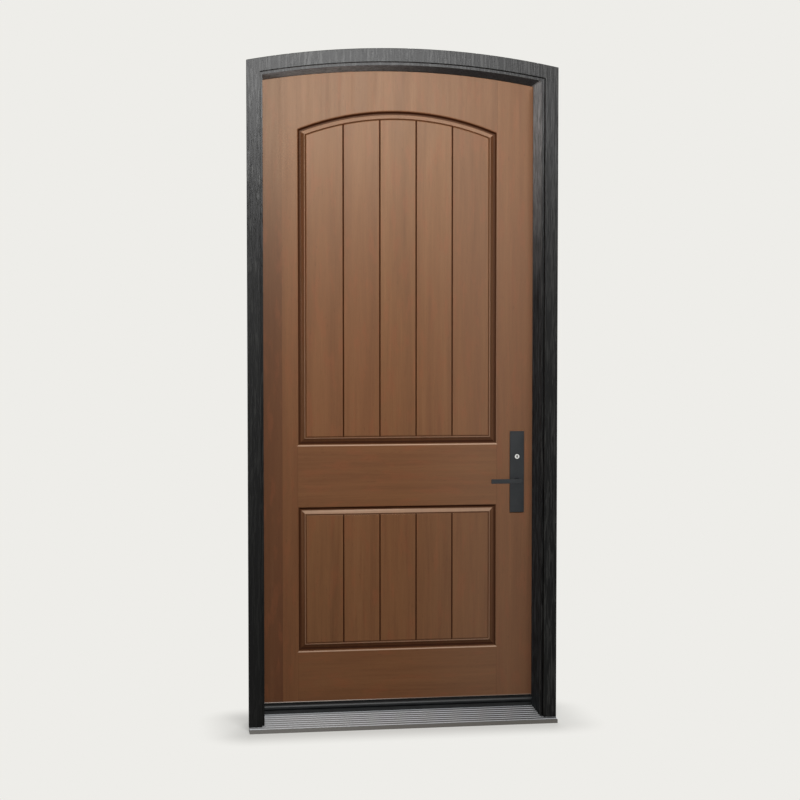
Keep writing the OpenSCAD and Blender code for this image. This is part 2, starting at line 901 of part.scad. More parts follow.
module lock_stile() {
    color(lumber) difference() {
        between_skins() slab_slice(core_x1, slab_edge, slab_z0, slab_z0 + slab_h);
        handle_holes();
        mid_block(case_x1, slab_edge + cut, faceplate_w + 2 * pocket_clear,
            faceplate_z0 - pocket_clear, faceplate_z1 + pocket_clear);
        mid_block(case_x0 - pocket_clear, slab_edge + cut, case_t + 2 * pocket_clear,
            case_z0 - pocket_clear, case_z1 + pocket_clear);
        for (z = tongue_z)
            mid_block(case_x1 - tongue_case_d - pocket_clear, slab_edge + cut, case_t + 2 * pocket_clear,
                z - tongue_case_h / 2 - pocket_clear, z + tongue_case_h / 2 + pocket_clear);
        at_faceplate_screws() wood_screw(stile_screw_l, screw_clear);
    }
}

module top_rail() {
    color(lumber) between_skins() slab_slice(core_x0, core_x1, core_z1, slab_z0 + slab_h);
}

module bottom_rail() {
    color(lumber) between_skins() slab_slice(core_x0, core_x1, slab_z0, core_z0);
}

module bottom_sweep() {
    base_t = 1.8;
    fin_t = 2;
    inset = 4;
    half = slab_edge - door_gap / 3;
    color(seal_black) along_x(-half, half) {
        translate([slab_y0 + inset, slab_z0 - base_t]) square([slab_t - 2 * inset, base_t]);
        for (f = [-1, 0, 1])
            translate([mid_y + f * (slab_t / 2 - 2 * inset) - fin_t / 2, slab_z0 - sweep_h])
                square([fin_t, sweep_h - base_t / 2]);
    }
}

// Lock

module at_faceplate_screws() {
    for (z = faceplate_screw_z)
        translate([slab_edge, mid_y, z]) rotate([0, -90, 0]) children();
}

module lock_case() {
    color(zinc_grey) difference() {
        mid_block(case_x0, case_x1, case_t, case_z0, case_z1);
        bar_y(lock_x, lever_z, neck_r, slab_y0, slab_y1);
        bar_y(lock_x, cylinder_z, cylinder_r + pocket_clear, slab_y0, slab_y1);
        bolt_window(slab_edge - latch_tail - latch_throw - strike_play, case_x1 + cut,
            lever_z, latch_h, pass_clear);
        bolt_window(slab_edge - bolt_tail - strike_play, case_x1 + cut, cylinder_z, bolt_h, pass_clear);
    }
}

module tongue_case(z) {
    color(zinc_grey) difference() {
        mid_block(case_x1 - tongue_case_d, case_x1, case_t, z - tongue_case_h / 2, z + tongue_case_h / 2);
        bolt_window(slab_edge - bolt_tail - strike_play, case_x1 + cut, z, bolt_h, pass_clear);
    }
}

module upper_bolt_case() {
    tongue_case(tongue_z[1]);
}

module lower_bolt_case() {
    tongue_case(tongue_z[0]);
}

module lock_faceplate() {
    color(zinc_grey) difference() {
        mid_block(case_x1, slab_edge, faceplate_w, faceplate_z0, faceplate_z1);
        bolt_window(case_x1 - cut, slab_edge + cut, lever_z, latch_h, pass_clear);
        bolt_window(case_x1 - cut, slab_edge + cut, cylinder_z, bolt_h, pass_clear);
        for (z = tongue_z)
            bolt_window(case_x1 - cut, slab_edge + cut, z, bolt_h, pass_clear);
        at_faceplate_screws() wood_screw(stile_screw_l, screw_clear);
    }
}

module faceplate_screws() {
    color(zinc_grey) at_faceplate_screws() wood_screw(stile_screw_l);
}

// The latch is bevelled on its outdoor side, which meets the strike first as the door closes
module latch_bolt() {
    tip = slab_edge + latch_throw;
    half = bolt_t / 2;
    color(bright_steel) translate([0, mid_y, lever_z - latch_h / 2]) linear_extrude(latch_h)
        polygon([
            [slab_edge - latch_tail, -half], [slab_edge, -half], [tip, half / 2],
            [tip, half], [slab_edge - latch_tail, half]
        ]);
}

// A bolt drawn back level with the faceplate
module square_bolt(z) {
    color(bright_steel)
        mid_block(slab_edge - bolt_tail, slab_edge - pass_clear, bolt_t, z - bolt_h / 2, z + bolt_h / 2);
}

module deadbolt() {
    square_bolt(cylinder_z);
}

module upper_tongue_bolt() {
    square_bolt(tongue_z[1]);
}

module lower_tongue_bolt() {
    square_bolt(tongue_z[0]);
}

// Handle set

module plate_blank(y0, y1) {
    translate([lock_x - plate_w / 2, y0, plate_z0]) cube([plate_w, y1 - y0, plate_h]);
}

module exterior_escutcheon() {
    y0 = slab_y0 - plate_t;
    color(bronze_black) difference() {
        plate_blank(y0, slab_y0);
        bar_y(lock_x, lever_z, neck_r, y0 - cut, slab_y0 + cut);
        bar_y(lock_x, cylinder_z, cylinder_face_r + screw_clear, y0 - cut, slab_y0 + cut);
        for (z = plate_bolt_z)
            bar_y(lock_x, z, plate_bolt_r + screw_clear, y0 + plate_t / 3, slab_y0 + cut);
    }
}

module interior_escutcheon() {
    y1 = slab_y1 + plate_t;
    color(bronze_black) difference() {
        plate_blank(slab_y1, y1);
        bar_y(lock_x, lever_z, neck_r, slab_y1 - cut, y1 + cut);
        bar_y(lock_x, cylinder_z, stem_r + run_clear, slab_y1 - cut, y1 + cut);
        at_plate_bolts(y1) plate_bolt(screw_clear);
    }
}

// Bolt with a countersunk head level with the origin and its end towards -Z, or the hole for it
module plate_bolt(extra = 0) {
    end_gap = 0.5;
    length = slab_t + plate_t + 2 * plate_t / 3 - end_gap;
    rotate_extrude($fn = 32) polygon([
        [0, extra], [plate_bolt_head_r + extra, extra], [plate_bolt_head_r + extra, 0],
        [plate_bolt_r + extra, -plate_bolt_head_h], [plate_bolt_r + extra, -length - extra],
        [0, -length - extra]
    ]);
}

module escutcheon_bolts() {
    color(bronze_black) at_plate_bolts(slab_y1 + plate_t) plate_bolt();
}

// A lever in the outdoor position: a neck in the escutcheon and a straight flat bar
module lever() {
    y0 = slab_y0 - lever_reach;
    color(bronze_black) difference() {
        union() {
            translate([lock_x - lever_len, y0, lever_z - lever_h / 2])
                cube([lever_len + neck_r - run_clear, lever_t, lever_h]);
            bar_y(lock_x, lever_z, neck_r - run_clear, y0 + lever_t / 2, slab_y0 - pass_clear);
        }
        translate([lock_x - socket_w / 2, slab_y0 - plate_t - socket_d, lever_z - socket_w / 2])
            cube([socket_w, plate_t + socket_d, socket_w]);
    }
}

module exterior_lever() {
    lever();
}

module interior_lever() {
    translate([0, 2 * mid_y, 0]) mirror([0, 1, 0]) lever();
}

// Square bar through the lock case, with the round follower that turns in the case
module spindle() {
    end_gap = 1;
    reach = slab_t / 2 + plate_t + socket_d - end_gap;
    color(zinc_grey) {
        translate([lock_x - spindle_w / 2, mid_y - reach, lever_z - spindle_w / 2])
            cube([spindle_w, 2 * reach, spindle_w]);
        bar_y(lock_x, lever_z, neck_r - run_clear, mid_y - case_t / 2, mid_y + case_t / 2);
    }
}

module cylinder_body() {
    front = slab_y0 - plate_t - face_stand;
    color(bright_steel) difference() {
        union() {
            bar_y(lock_x, cylinder_z, cylinder_face_r, front, slab_y0 + cut);
            bar_y(lock_x, cylinder_z, cylinder_r, slab_y0 + cut, slab_y1 - cut);
        }
        bar_y(lock_x, cylinder_z, plug_r + run_clear, front - cut, front + plug_l + pass_clear);
        bar_y(lock_x, cylinder_z, stem_r + run_clear, slab_y1 - stem_in - pass_clear, slab_y1);
    }
}

module key_plug() {
    front = slab_y0 - plate_t - face_stand;
    color(bright_steel) difference() {
        bar_y(lock_x, cylinder_z, plug_r, front, front + plug_l);
        translate([lock_x - keyway_w / 2, front - cut, cylinder_z - keyway_h / 2])
            cube([keyway_w, plug_l + cut - keyway_end, keyway_h]);
    }
}

module thumbturn() {
    base_y = slab_y1 + plate_t + pass_clear;
    color(bronze_black) {
        bar_y(lock_x, cylinder_z, stem_r, slab_y1 - stem_in, base_y + turn_base_t);
        bar_y(lock_x, cylinder_z, turn_base_r, base_y, base_y + turn_base_t);
        translate([lock_x - turn_w / 2, base_y + turn_base_t - cut, cylinder_z - turn_h / 2])
            cube([turn_w, turn_l + cut, turn_h]);
    }
}

hinge_jamb();
strike_jamb();
head_jamb();
hinge_side_casing();
strike_side_casing();
head_casing();
sill_base();
sill_deck();
sill_riser();
threshold_cap();
threshold_screws();
hinge_side_seal();
strike_side_seal();
head_seal();
centre_strike();
upper_strike();
lower_strike();
strike_screws();
jamb_leaf_screws();
exterior_skin();
interior_skin();
foam_core();
hinge_stile();
lock_stile();
top_rail();
bottom_rail();
door_leaf_screws();
bottom_sweep();
lock_case();
upper_bolt_case();
lower_bolt_case();
lock_faceplate();
faceplate_screws();
exterior_escutcheon();
interior_escutcheon();
escutcheon_bolts();
cylinder_body();
exterior_lever();
interior_lever();
spindle();
latch_bolt();
deadbolt();
upper_tongue_bolt();
lower_tongue_bolt();
thumbturn();
key_plug();
for (i = [1 : hinge_count]) {
    jamb_hinge_leaf(i);
    door_hinge_leaf(i);
    hinge_pin(i);
}
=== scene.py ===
# %% [markdown]
# # An arched entry door, dressed for a picture
# The solids of the door, its frame, its hinges and its lock come ready made, each in its place. This
# lesson adds what a solid can't show: stained grain, embossed paint, satin metal and eased edges. Every
# length is in metres, X runs along the sill, Y goes indoors and Z is up.

# %% Load the frame
import functools
import json
import math

import bmesh
import bpy
from bmesh.types import BMFace, BMVert
from mathutils import Matrix, Vector


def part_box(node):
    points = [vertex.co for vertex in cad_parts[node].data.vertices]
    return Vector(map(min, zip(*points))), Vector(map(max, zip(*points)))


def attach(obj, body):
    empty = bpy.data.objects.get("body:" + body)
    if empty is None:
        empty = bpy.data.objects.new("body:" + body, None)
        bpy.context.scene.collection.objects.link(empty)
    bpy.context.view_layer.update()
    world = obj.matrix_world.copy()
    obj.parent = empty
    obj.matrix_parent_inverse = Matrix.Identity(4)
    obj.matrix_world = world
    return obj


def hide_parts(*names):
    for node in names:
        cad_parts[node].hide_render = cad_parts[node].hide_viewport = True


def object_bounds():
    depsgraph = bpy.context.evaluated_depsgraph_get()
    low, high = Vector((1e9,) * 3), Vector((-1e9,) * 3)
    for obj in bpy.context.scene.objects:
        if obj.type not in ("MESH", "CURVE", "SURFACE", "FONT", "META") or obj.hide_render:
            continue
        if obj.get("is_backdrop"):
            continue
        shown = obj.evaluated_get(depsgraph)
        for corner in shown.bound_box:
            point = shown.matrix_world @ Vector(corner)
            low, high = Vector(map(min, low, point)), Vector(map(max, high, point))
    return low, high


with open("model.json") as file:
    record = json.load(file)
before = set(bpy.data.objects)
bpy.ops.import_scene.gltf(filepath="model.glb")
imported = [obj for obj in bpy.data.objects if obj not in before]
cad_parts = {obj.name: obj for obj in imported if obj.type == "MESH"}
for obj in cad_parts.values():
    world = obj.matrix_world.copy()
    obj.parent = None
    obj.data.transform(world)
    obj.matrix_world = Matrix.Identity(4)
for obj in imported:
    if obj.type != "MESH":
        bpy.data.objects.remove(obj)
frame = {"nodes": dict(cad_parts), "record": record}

cad_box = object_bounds()
scene = bpy.context.scene
nodes = frame["nodes"]
MM = 0.001


def tell(what, *values):
    """Prints a few numbers, with four decimals at most."""
    print(what, *(round(v, 4) for v in values))


tell("solids and their box:", len(nodes), *cad_box[0], *cad_box[1])

# %% [markdown]
# ## The camera
# The photograph was taken from outdoors, left of the door and at shoulder height, with a long lens. A
# camera can be placed by eye, but lines that run away from it tell more: the pull of the sill, the casing
# and the panels fixed the place, the turn and the lens below. The turn is written as two angles, because
# a direction made from them is easier to check than three rotations.

# %% Camera
CAMERA_PLACE = (-0.935, -5.9742, 1.4763)
CAMERA_TURN = 0.1523
CAMERA_DIP = 0.0409
LENS_MM = 73.07
SENSOR_MM = 36


def put_up(name, data, place, look):
    """Sets up a camera or a lamp at a place, turned along the look."""
    holder = bpy.data.objects.new(name, data)
    holder.location = place
    holder.rotation_mode = "QUATERNION"
    holder.rotation_quaternion = look.to_track_quat("-Z", "Y")
    scene.collection.objects.link(holder)
    return holder


level = math.cos(CAMERA_DIP)
look = Vector((math.sin(CAMERA_TURN) * level, math.cos(CAMERA_TURN) * level, -math.sin(CAMERA_DIP)))
camera_data = bpy.data.cameras.new("photo_camera")
camera_data.lens = LENS_MM
camera_data.sensor_width = SENSOR_MM
scene.camera = put_up("photo_camera", camera_data, CAMERA_PLACE, look)
tell("camera looks along", *look)

# %% [markdown]
# ## Shader sums in plain Python
# A finish is a small program of nodes. Wiring Math nodes by hand is slow to write and to read, so one
# class wraps a socket and lets Python's own operators add the nodes. The reflected operators are there so
# that one minus a mask works too. A second class holds a material and adds every other kind of node.

# %% A socket that can be reckoned with
def math_node(operation, flipped=False):
    """A method that adds one Math node; flipped puts the other value first."""
    def method(self, *others):
        made = self.tree.nodes.new("ShaderNodeMath")
        made.operation = operation
        values = (*others, self) if flipped else (self, *others)
        for plug, value in zip(made.inputs, values):
            connect(self.tree, plug, value)
        return Wire(self.tree, made.outputs[0])
    return method


class Wire:
    """A socket of numbers. Sums with it add Math nodes."""

    def __init__(self, tree, socket):
        self.tree = tree
        self.socket = socket

    __add__ = math_node("ADD")
    __radd__ = math_node("ADD", flipped=True)
    __sub__ = math_node("SUBTRACT")
    __rsub__ = math_node("SUBTRACT", flipped=True)
    __mul__ = math_node("MULTIPLY")
    __rmul__ = math_node("MULTIPLY", flipped=True)
    __truediv__ = math_node("DIVIDE")
    __gt__ = math_node("GREATER_THAN")
    __lt__ = math_node("LESS_THAN")
    __abs__ = math_node("ABSOLUTE")
    __floor__ = math_node("FLOOR")
    __round__ = math_node("ROUND")
    root = math_node("SQRT")
    least = math_node("MINIMUM")
    most = math_node("MAXIMUM")


def connect(tree, plug, value):
    """Links a Wire to plug, or sets plug's own value."""
    if isinstance(value, Wire):
        tree.links.new(value.socket, plug)
    elif plug.type == "RGBA" and len(value) == 3:
        plug.default_value = (*value, 1.0)
    else:
        plug.default_value = value


print("a socket that sums:", Wire.__name__)


# %% A material while it is wired
class Finish:
    """A material or a world while it is wired."""

    def __init__(self, name, kind="materials"):
        self.owner = getattr(bpy.data, kind).new(name)
        self.owner.use_nodes = True
        self.tree = self.owner.node_tree
        self.shader = self.tree.nodes.get("Principled BSDF")

    def node(self, kind, settings, sockets, output=0):
        """Adds one node: its settings first, then its sockets. Gives back the Wire of one output."""
        made = self.tree.nodes.new("ShaderNode" + kind)
        for key, value in settings.items():
            if key == "stops":
                fill_ramp(made.color_ramp, value)
            else:
                setattr(made, key, value)
        for key, value in sockets.items():
            connect(self.tree, made.inputs[key], value)
        return Wire(self.tree, made.outputs[output])

    def place(self):
        """The place on the surface in the shared frame, as one vector."""
        return self.node("TexCoord", {}, {}, "Object")

    def axes(self, vector):
        return [self.node("SeparateXYZ", {}, {"Vector": vector}, axis) for axis in "XYZ"]

    def point(self, x, y, z):
        return self.node("CombineXYZ", {}, {"X": x, "Y": y, "Z": z})

    def grain(self, vector, scale, detail=3.0, rough=0.55, distort=0.0):
        """Noise with its own scale along each axis; it runs long where the scale is small."""
        spot = self.node("VectorMath", {"operation": "MULTIPLY"}, {0: vector, 1: scale})
        return self.node("TexNoise", {}, {"Vector": spot, "Scale": 1.0, "Detail": detail,
                                          "Roughness": rough, "Distortion": distort}, "Fac")

    def smooth(self, value, low, high, out_low=0.0, out_high=1.0):
        """A soft step from out_low to out_high as value goes from low to high."""
        return self.node("MapRange", {"interpolation_type": "SMOOTHSTEP"},
                         {"Value": value, "From Min": low, "From Max": high,
                          "To Min": out_low, "To Max": out_high})

    def ramp(self, value, stops):
        return self.node("ValToRGB", {"stops": stops}, {"Fac": value})

    def blend(self, factor, first, second):
        """Mixes two colours."""
        return self.node("Mix", {"data_type": "RGBA"}, {0: factor, 6: first, 7: second}, 2)

    def bump(self, height, strength, distance):
        return self.node("Bump", {}, {"Height": height, "Strength": strength, "Distance": distance})

    def seen(self):
        """One where the camera looks, also by a mirror or through glass; zero for light on its way."""
        kinds = ("Is Camera Ray", "Is Glossy Ray", "Is Transmission Ray")
        rays = [self.node("LightPath", {}, {}, kind) for kind in kinds]
        return functools.reduce(Wire.most, rays)

    def set(self, **values):
        """Sets or links the shader's own sockets; base_color means Base Color."""
        for key, value in values.items():
            name = key.replace("_", " ").title().replace("Ior", "IOR")
            connect(self.tree, self.shader.inputs[name], value)

    def mix(self, share, first, second):
        """Shows a mix of two shaders: the second one where share is high."""
        output = self.tree.nodes.get("Material Output") or self.tree.nodes["World Output"]
        mixed = self.node("MixShader", {}, {0: share, 1: first, 2: second})
        connect(self.tree, output.inputs["Surface"], mixed)

    def flatten(self, share, colour, relief):
        """Takes the sheen away where share is high, by mixing in a matte shader."""
        matte = self.node("BsdfPrincipled", {}, {"Base Color": colour, "Normal": relief, "Roughness": 0.9,
                                                 "Specular IOR Level": 0.0})
        self.mix(share, Wire(self.tree, self.shader.outputs[0]), matte)


def fill_ramp(ramp, stops):
    while len(ramp.elements) < len(stops):
        ramp.elements.new(0.5)
    for element, (place, colour) in zip(ramp.elements, stops):
        element.position = place
        element.color = (*colour, 1.0)


print("a material to wire:", Finish.__name__)

# %% Colours and the list of finishes
finishes = {}


def srgb(red, green, blue):
    """A colour as it is read off a picture, from 0 to 255, turned into the linear values of a shader."""
    share = [v / 255 for v in (red, green, blue)]
    return tuple(v / 12.92 if v <= 0.04045 else ((v + 0.055) / 1.055) ** 2.4 for v in share)


def keep(wire_up):
    """Starts a finish with a function's name, lets the function wire it and files it."""
    finish = Finish(wire_up.__name__)
    wire_up(finish)
    finishes[wire_up.__name__] = finish.owner
    print(wire_up.__name__, "nodes:", len(finish.tree.nodes))


tell("middle grey:", *srgb(128, 128, 128))

# %% [markdown]
# ## Sizes of the moulded panels
# The skin is one moulded sheet: an arched upper panel and a lower one, each with a rounded step down, a
# narrow floor, a bevel that climbs back, a V groove and a raised field drawn as planks. The box of the
# solid gives the outline; the rest are the maker's own values, repeated here.

# %% Panel sizes
skin_low, skin_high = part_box("exterior_skin")
SLAB_HALF = skin_high.x
SLAB_BOTTOM = skin_low.z
SLAB_CROWN = skin_high.z
FACE_Y = skin_low.y


def arch_radius(half, rise):
    return (half ** 2 + rise ** 2) / (2 * rise)


SLAB_R = arch_radius(SLAB_HALF, 47.4 * MM)
STILE_W = 148 * MM
PANEL_HALF = SLAB_HALF - STILE_W
LOWER_Z = (SLAB_BOTTOM + 193 * MM, SLAB_BOTTOM + 748 * MM)
UPPER_Z = (SLAB_BOTTOM + 981 * MM, SLAB_CROWN - 157 * MM)
PANEL_R = arch_radius(PANEL_HALF, 75 * MM)
BORDER_W = 35 * MM
FIELD_HALF = PANEL_HALF - BORDER_W
PLANKS = 5
PLANK_W = 2 * FIELD_HALF / PLANKS
tell("panels:", PANEL_HALF, *LOWER_Z, *UPPER_Z, PANEL_R)

# %% [markdown]
# ## Stained grain
# The real skin is moulded from a wooden master and then stained by hand, so the pigment settles in the
# low places and wipes thin on the high ones. On top of that, the steps of the moulding carry painted shade
# where they face down or aside and painted highlights where they face up. Grain could be painted on, but a
# photograph or a painting doesn't follow the boards. Here the surface's own X and Z decide which board a
# point is on: stiles, planks and the top rail run upright, the middle and bottom rails run across, and
# each board shifts the noise to its own place. A strip along both sides counts as a board of its own, and
# the hinge side's is darker and redder towards its foot. The lock side gets a painted sheen that makes it
# a little paler and greyer, and the foot of the slab a thin painted highlight. Thick stain dries matte, so
# the low places and the places of painted shade lose their sheen.

# %% Distance from the edge of a panel
def panel_reach(x, z):
    """How far a point lies inside the nearer panel's sides, bottom and top; below zero outside it."""
    in_upper = z > (LOWER_Z[1] + UPPER_Z[0]) / 2
    side = PANEL_HALF - abs(x)
    bottom = z - LOWER_Z[0] - in_upper * (UPPER_Z[0] - LOWER_Z[0])
    rise = z - (UPPER_Z[1] - PANEL_R)
    from_centre = (x * x + rise * rise).root()
    flat_top = LOWER_Z[1] - z
    top = flat_top + in_upper * (PANEL_R - from_centre - flat_top)
    return in_upper, side, bottom, top


tell("height of the middle rail:", UPPER_Z[0] - LOWER_Z[1])

# %% Which board a point is on
STRIP_W = 90 * MM


def boards(x, z, in_upper, inset):
    """A number for each board, a mask for the rails with grain across, and the place among the planks."""
    cell = x / PLANK_W + PLANKS / 2
    between = abs(x) < PANEL_HALF
    low_rail = between * (z < LOWER_Z[0])
    mid_rail = between * (z > LOWER_Z[1]) * (z < UPPER_Z[0])
    top_rail = between * (z > UPPER_Z[0]) * (inset < 0.0)
    outer_strip = abs(x) > SLAB_HALF - STRIP_W
    stile = (1 - between) * (2 + (x > 0.0) + 3 * outer_strip)
    plank = (inset > BORDER_W) * (math.floor(cell) + 11 * in_upper + 20)
    number = plank + low_rail * 7 + mid_rail * 9 + top_rail * 13 + stile
    return number, low_rail + mid_rail, cell


tell("width of a plank:", PLANK_W)

# %% Stain in the low places
# Where a band begins, is full, fades and ends, in mm inside the panel's edge, and then how strong it is
# on the panel's sides, at the top and at the bottom.
# Besides stain in the low places, the bands hold painted shade and painted highlights by side: the step is
# darker at the top, and the slope at the bottom and sides, where they face down or aside; the lip at the
# bottom and the slope at the top are painted lighter, where they face up.
STAINED_AND_SHADED = {"step": ((0.5, 4.5, 9.0, 11.0), (0.78, 0.96, 0.30)),
           "trough": ((8.0, 10.0, 13.0, 15.5), (0.80, 0.80, 0.86)),
           "sump": ((4.5, 7.5, 14.0, 17.0), (0.0, 0.0, 0.95)),
           "slope": ((13.0, 15.5, 26.5, 28.5), (0.46, 0.0, 0.66)),
           "quirk": ((28.8, 30.8, 32.2, 34.2), (0.60, 0.60, 0.60))}
WIPED_AND_HIGHLIT = {"lip": ((-3.5, -1.5, 0.5, 3.0), (0.0, 0.0, 0.42)),
         "crest": ((25.0, 27.0, 28.0, 29.2), (0.16, 0.16, 0.16)),
         "slope": ((14.0, 17.0, 26.5, 28.5), (0.0, 0.22, 0.0))}
JOINT_STAIN, JOINT_SOFT = 0.92, (1.2 * MM, 3.6 * MM)
SEAM_STAIN, SEAM_SOFT = 0.22, (0.3 * MM, 1.4 * MM)
JOINT_LAP = 3 * MM


def strongest(f, inset, sides, rows):
    """The strongest band of a table at each point."""
    bands = []
    for (begin, full, fade, end), shares in rows.values():
        band = f.smooth(inset, begin * MM, full * MM) * (1 - f.smooth(inset, fade * MM, end * MM))
        bands.append(band * sum(share * side for share, side in zip(shares, sides)))
    return functools.reduce(Wire.most, bands)


def glaze(f, x, inset, side, bottom, top, cell):
    """How dark the stain and the painted shade lie, and how light the wiped edges and painted highlights
    are.
    """
    is_top = top < side.least(bottom)
    is_bottom = bottom < side.least(top)
    sides = ((1 - is_top) * (1 - is_bottom), is_top, is_bottom)
    to_joint = abs(cell - round(cell)) * PLANK_W
    in_field = (inset > BORDER_W - JOINT_LAP) * (abs(x) < FIELD_HALF - PLANK_W / 4)
    joint = JOINT_STAIN * (1 - f.smooth(to_joint, *JOINT_SOFT)) * in_field
    seam = SEAM_STAIN * (1 - f.smooth(abs(abs(x) - PANEL_HALF), *SEAM_SOFT)) * (inset < 0.0)
    dark = strongest(f, inset, sides, STAINED_AND_SHADED).most(joint).most(seam)
    return dark, strongest(f, inset, sides, WIPED_AND_HIGHLIT)


print("bands:", *STAINED_AND_SHADED, *WIPED_AND_HIGHLIT)

# %% Bare wood
WOOD = [(0.30, srgb(75, 46, 27)), (0.44, srgb(87, 56, 34)), (0.55, srgb(94, 62, 38)),
        (0.70, srgb(103, 70, 45))]


def bare_wood(f, x, z, spot, number):
    """The wood's colour, and the figure, streaks and pores that also shape its surface."""
    broad = f.grain(spot, (15, 15, 0.8), 2.0)
    figure = f.grain(spot, (46, 30, 2.2), 4.0, 0.6, 0.7)
    streak = f.grain(spot, (210, 90, 5), 3.0, 0.6)
    pores = f.smooth(f.grain(spot, (620, 300, 26), 2.0, 0.5), 0.60, 0.74)
    wood = f.ramp(0.45 * broad + 0.33 * figure + 0.22 * streak, WOOD)
    hue = f.node("TexWhiteNoise", {"noise_dimensions": "1D"}, {"W": number}, "Value")
    wood = f.blend(hue * 0.40, wood, srgb(90, 54, 33))
    red_strip = (x < STRIP_W - SLAB_HALF) * f.smooth(z, 2.3, 1.5)
    wood = f.blend(red_strip * 0.5, wood, srgb(58, 28, 17))
    blotch = f.smooth(f.grain(spot, (34, 34, 9), 3.0, 0.6), 0.50, 0.68)
    wood = f.blend(blotch * 0.30, wood, srgb(104, 58, 36))
    flecks = f.smooth(f.grain(spot, (150, 150, 34), 2.0, 0.5), 0.64, 0.76)
    wood = f.blend(pores.most(flecks) * 0.25, wood, srgb(58, 31, 17))
    top_band = f.smooth(f.grain(spot, (19, 19, 0.3), 1.0), 0.44, 0.56) * f.smooth(z, 2.16, 2.30)
    wood = f.blend(top_band * 0.22, wood, srgb(74, 47, 30))
    # Painted sheen: towards the lock side the wood is blended a little paler and greyer, less towards the
    # top.
    lock_side_sheen = f.smooth(x, -0.05, 0.42) * f.smooth(z, 2.4, 1.7, 0.2, 1.0)
    wood = f.blend(lock_side_sheen * 0.055, wood, srgb(150, 140, 128))
    return wood, figure, streak, pores


print("wood tones:", len(WOOD))

# %% Stained skin
BOARD_SHIFT = 3.71
DEPTH_SHARE = 0.4
FOOT_Z = (SLAB_BOTTOM + 1.2 * MM, SLAB_BOTTOM + 3.0 * MM)


def stained_skin(f):
    x, y, z = f.axes(f.place())
    in_upper, side, bottom, top = panel_reach(x, z)
    inset = side.least(bottom).least(top)
    number, lies_across, cell = boards(x, z, in_upper, inset)
    along = z + lies_across * (x - z)
    across = x + lies_across * (z - x)
    spot = f.point(across, y * DEPTH_SHARE, along + number * BOARD_SHIFT)
    wood, figure, streak, pores = bare_wood(f, x, z, spot, number)
    stain_and_shade, wiped_and_highlights = glaze(f, x, inset, side, bottom, top, cell)
    # Wiped edges with painted highlights, then stain with painted shade, from the moulding's bands.
    wood = f.blend(wiped_and_highlights, wood, srgb(206, 176, 152))
    wood = f.blend(stain_and_shade, wood, srgb(39, 17, 7))
    # Painted highlight: a thin pale line along the slab's foot, stronger towards the hinge side.
    foot_highlight = (1 - f.smooth(z, *FOOT_Z)) * f.smooth(x, 0.2, -0.3, 0.2, 0.7)
    wood = f.blend(foot_highlight, wood, srgb(196, 186, 178))
    relief = f.bump(0.6 * streak + 0.4 * figure - 0.25 * pores, 0.25, 0.5 * MM)
    f.set(base_color=wood, roughness=0.42 - 0.08 * figure, normal=relief, specular_ior_level=0.187,
          specular_tint=(1.0, 0.84, 0.66))
    f.flatten(stain_and_shade * 0.8, wood, relief)


keep(stained_skin)

# %% [markdown]
# ## Black paint over embossed grain
# Casing and jambs are moulded with a coarse upright grain and painted black. The colour hardly varies;
# the light does, because it catches the ridges. So the work is in the bump: long wavy ridges, a finer set
# between them and a slow swell, calmer towards the top, with the roughness following the ridges. The
# reveal behind the casing is different: its paint is dull and a lighter, cooler grey, as a painted sheen,
# and towards the top it turns a ragged pale grey, a stronger painted sheen. The head casing's lower edge
# and the soffit's left end get the same painted sheen, and the casing's lower left is painted darker, as
# painted shade.

# %% Where the paint has gone dull
CASING_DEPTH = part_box("head_casing")[1].y
REVEAL_SOFT = 3 * MM
STOP_X = 524.7 * MM
STOP_R = SLAB_R - SLAB_HALF + STOP_X
PAST_STOP = 2 * MM
SIDE_BAND = 8 * MM
EDGE_Y = (1.8 * MM, CASING_DEPTH - 0.3 * MM)
PAST_EDGE = 1.2 * MM


def dull_places(f, x, y, z):
    """Masks of the reveal and of the head casing's lower edge, and their painted sheen, stronger higher up
    and at the soffit's left.
    """
    rise = z - (SLAB_CROWN - SLAB_R)
    from_centre = (x * x + rise * rise).root()
    reveal = f.smooth(y, CASING_DEPTH, CASING_DEPTH + REVEAL_SOFT) * (y < FACE_Y)
    reveal = reveal * (abs(x) < STOP_X + PAST_STOP) * (from_centre < STOP_R + PAST_STOP)
    side_face = abs(x) > STOP_X - SIDE_BAND
    edge = (y > EDGE_Y[0]) * (y < EDGE_Y[1]) * (abs(x) < SLAB_HALF + PAST_EDGE)
    edge = edge * (from_centre < SLAB_R + PAST_EDGE) * (1 - side_face)
    spread = side_face + (1 - side_face) * f.smooth(x, 0.25, -0.40, 0.05, 1.0)
    return reveal, edge, f.smooth(z, 1.55, 2.40) * spread


tell("depth of the reveal:", CASING_DEPTH, FACE_Y)

# %% Black frame
PAINT = [(0.15, srgb(2, 2, 2)), (0.50, srgb(7, 7, 7)), (0.90, srgb(32, 32, 31))]
# Painted sheen: the reveal's paint is a lighter, cooler grey than the casing's.
REVEAL_SHEEN_PAINT = [(0.1, srgb(34, 36, 38)), (0.9, srgb(68, 72, 75))]
SWAY = 16 * MM


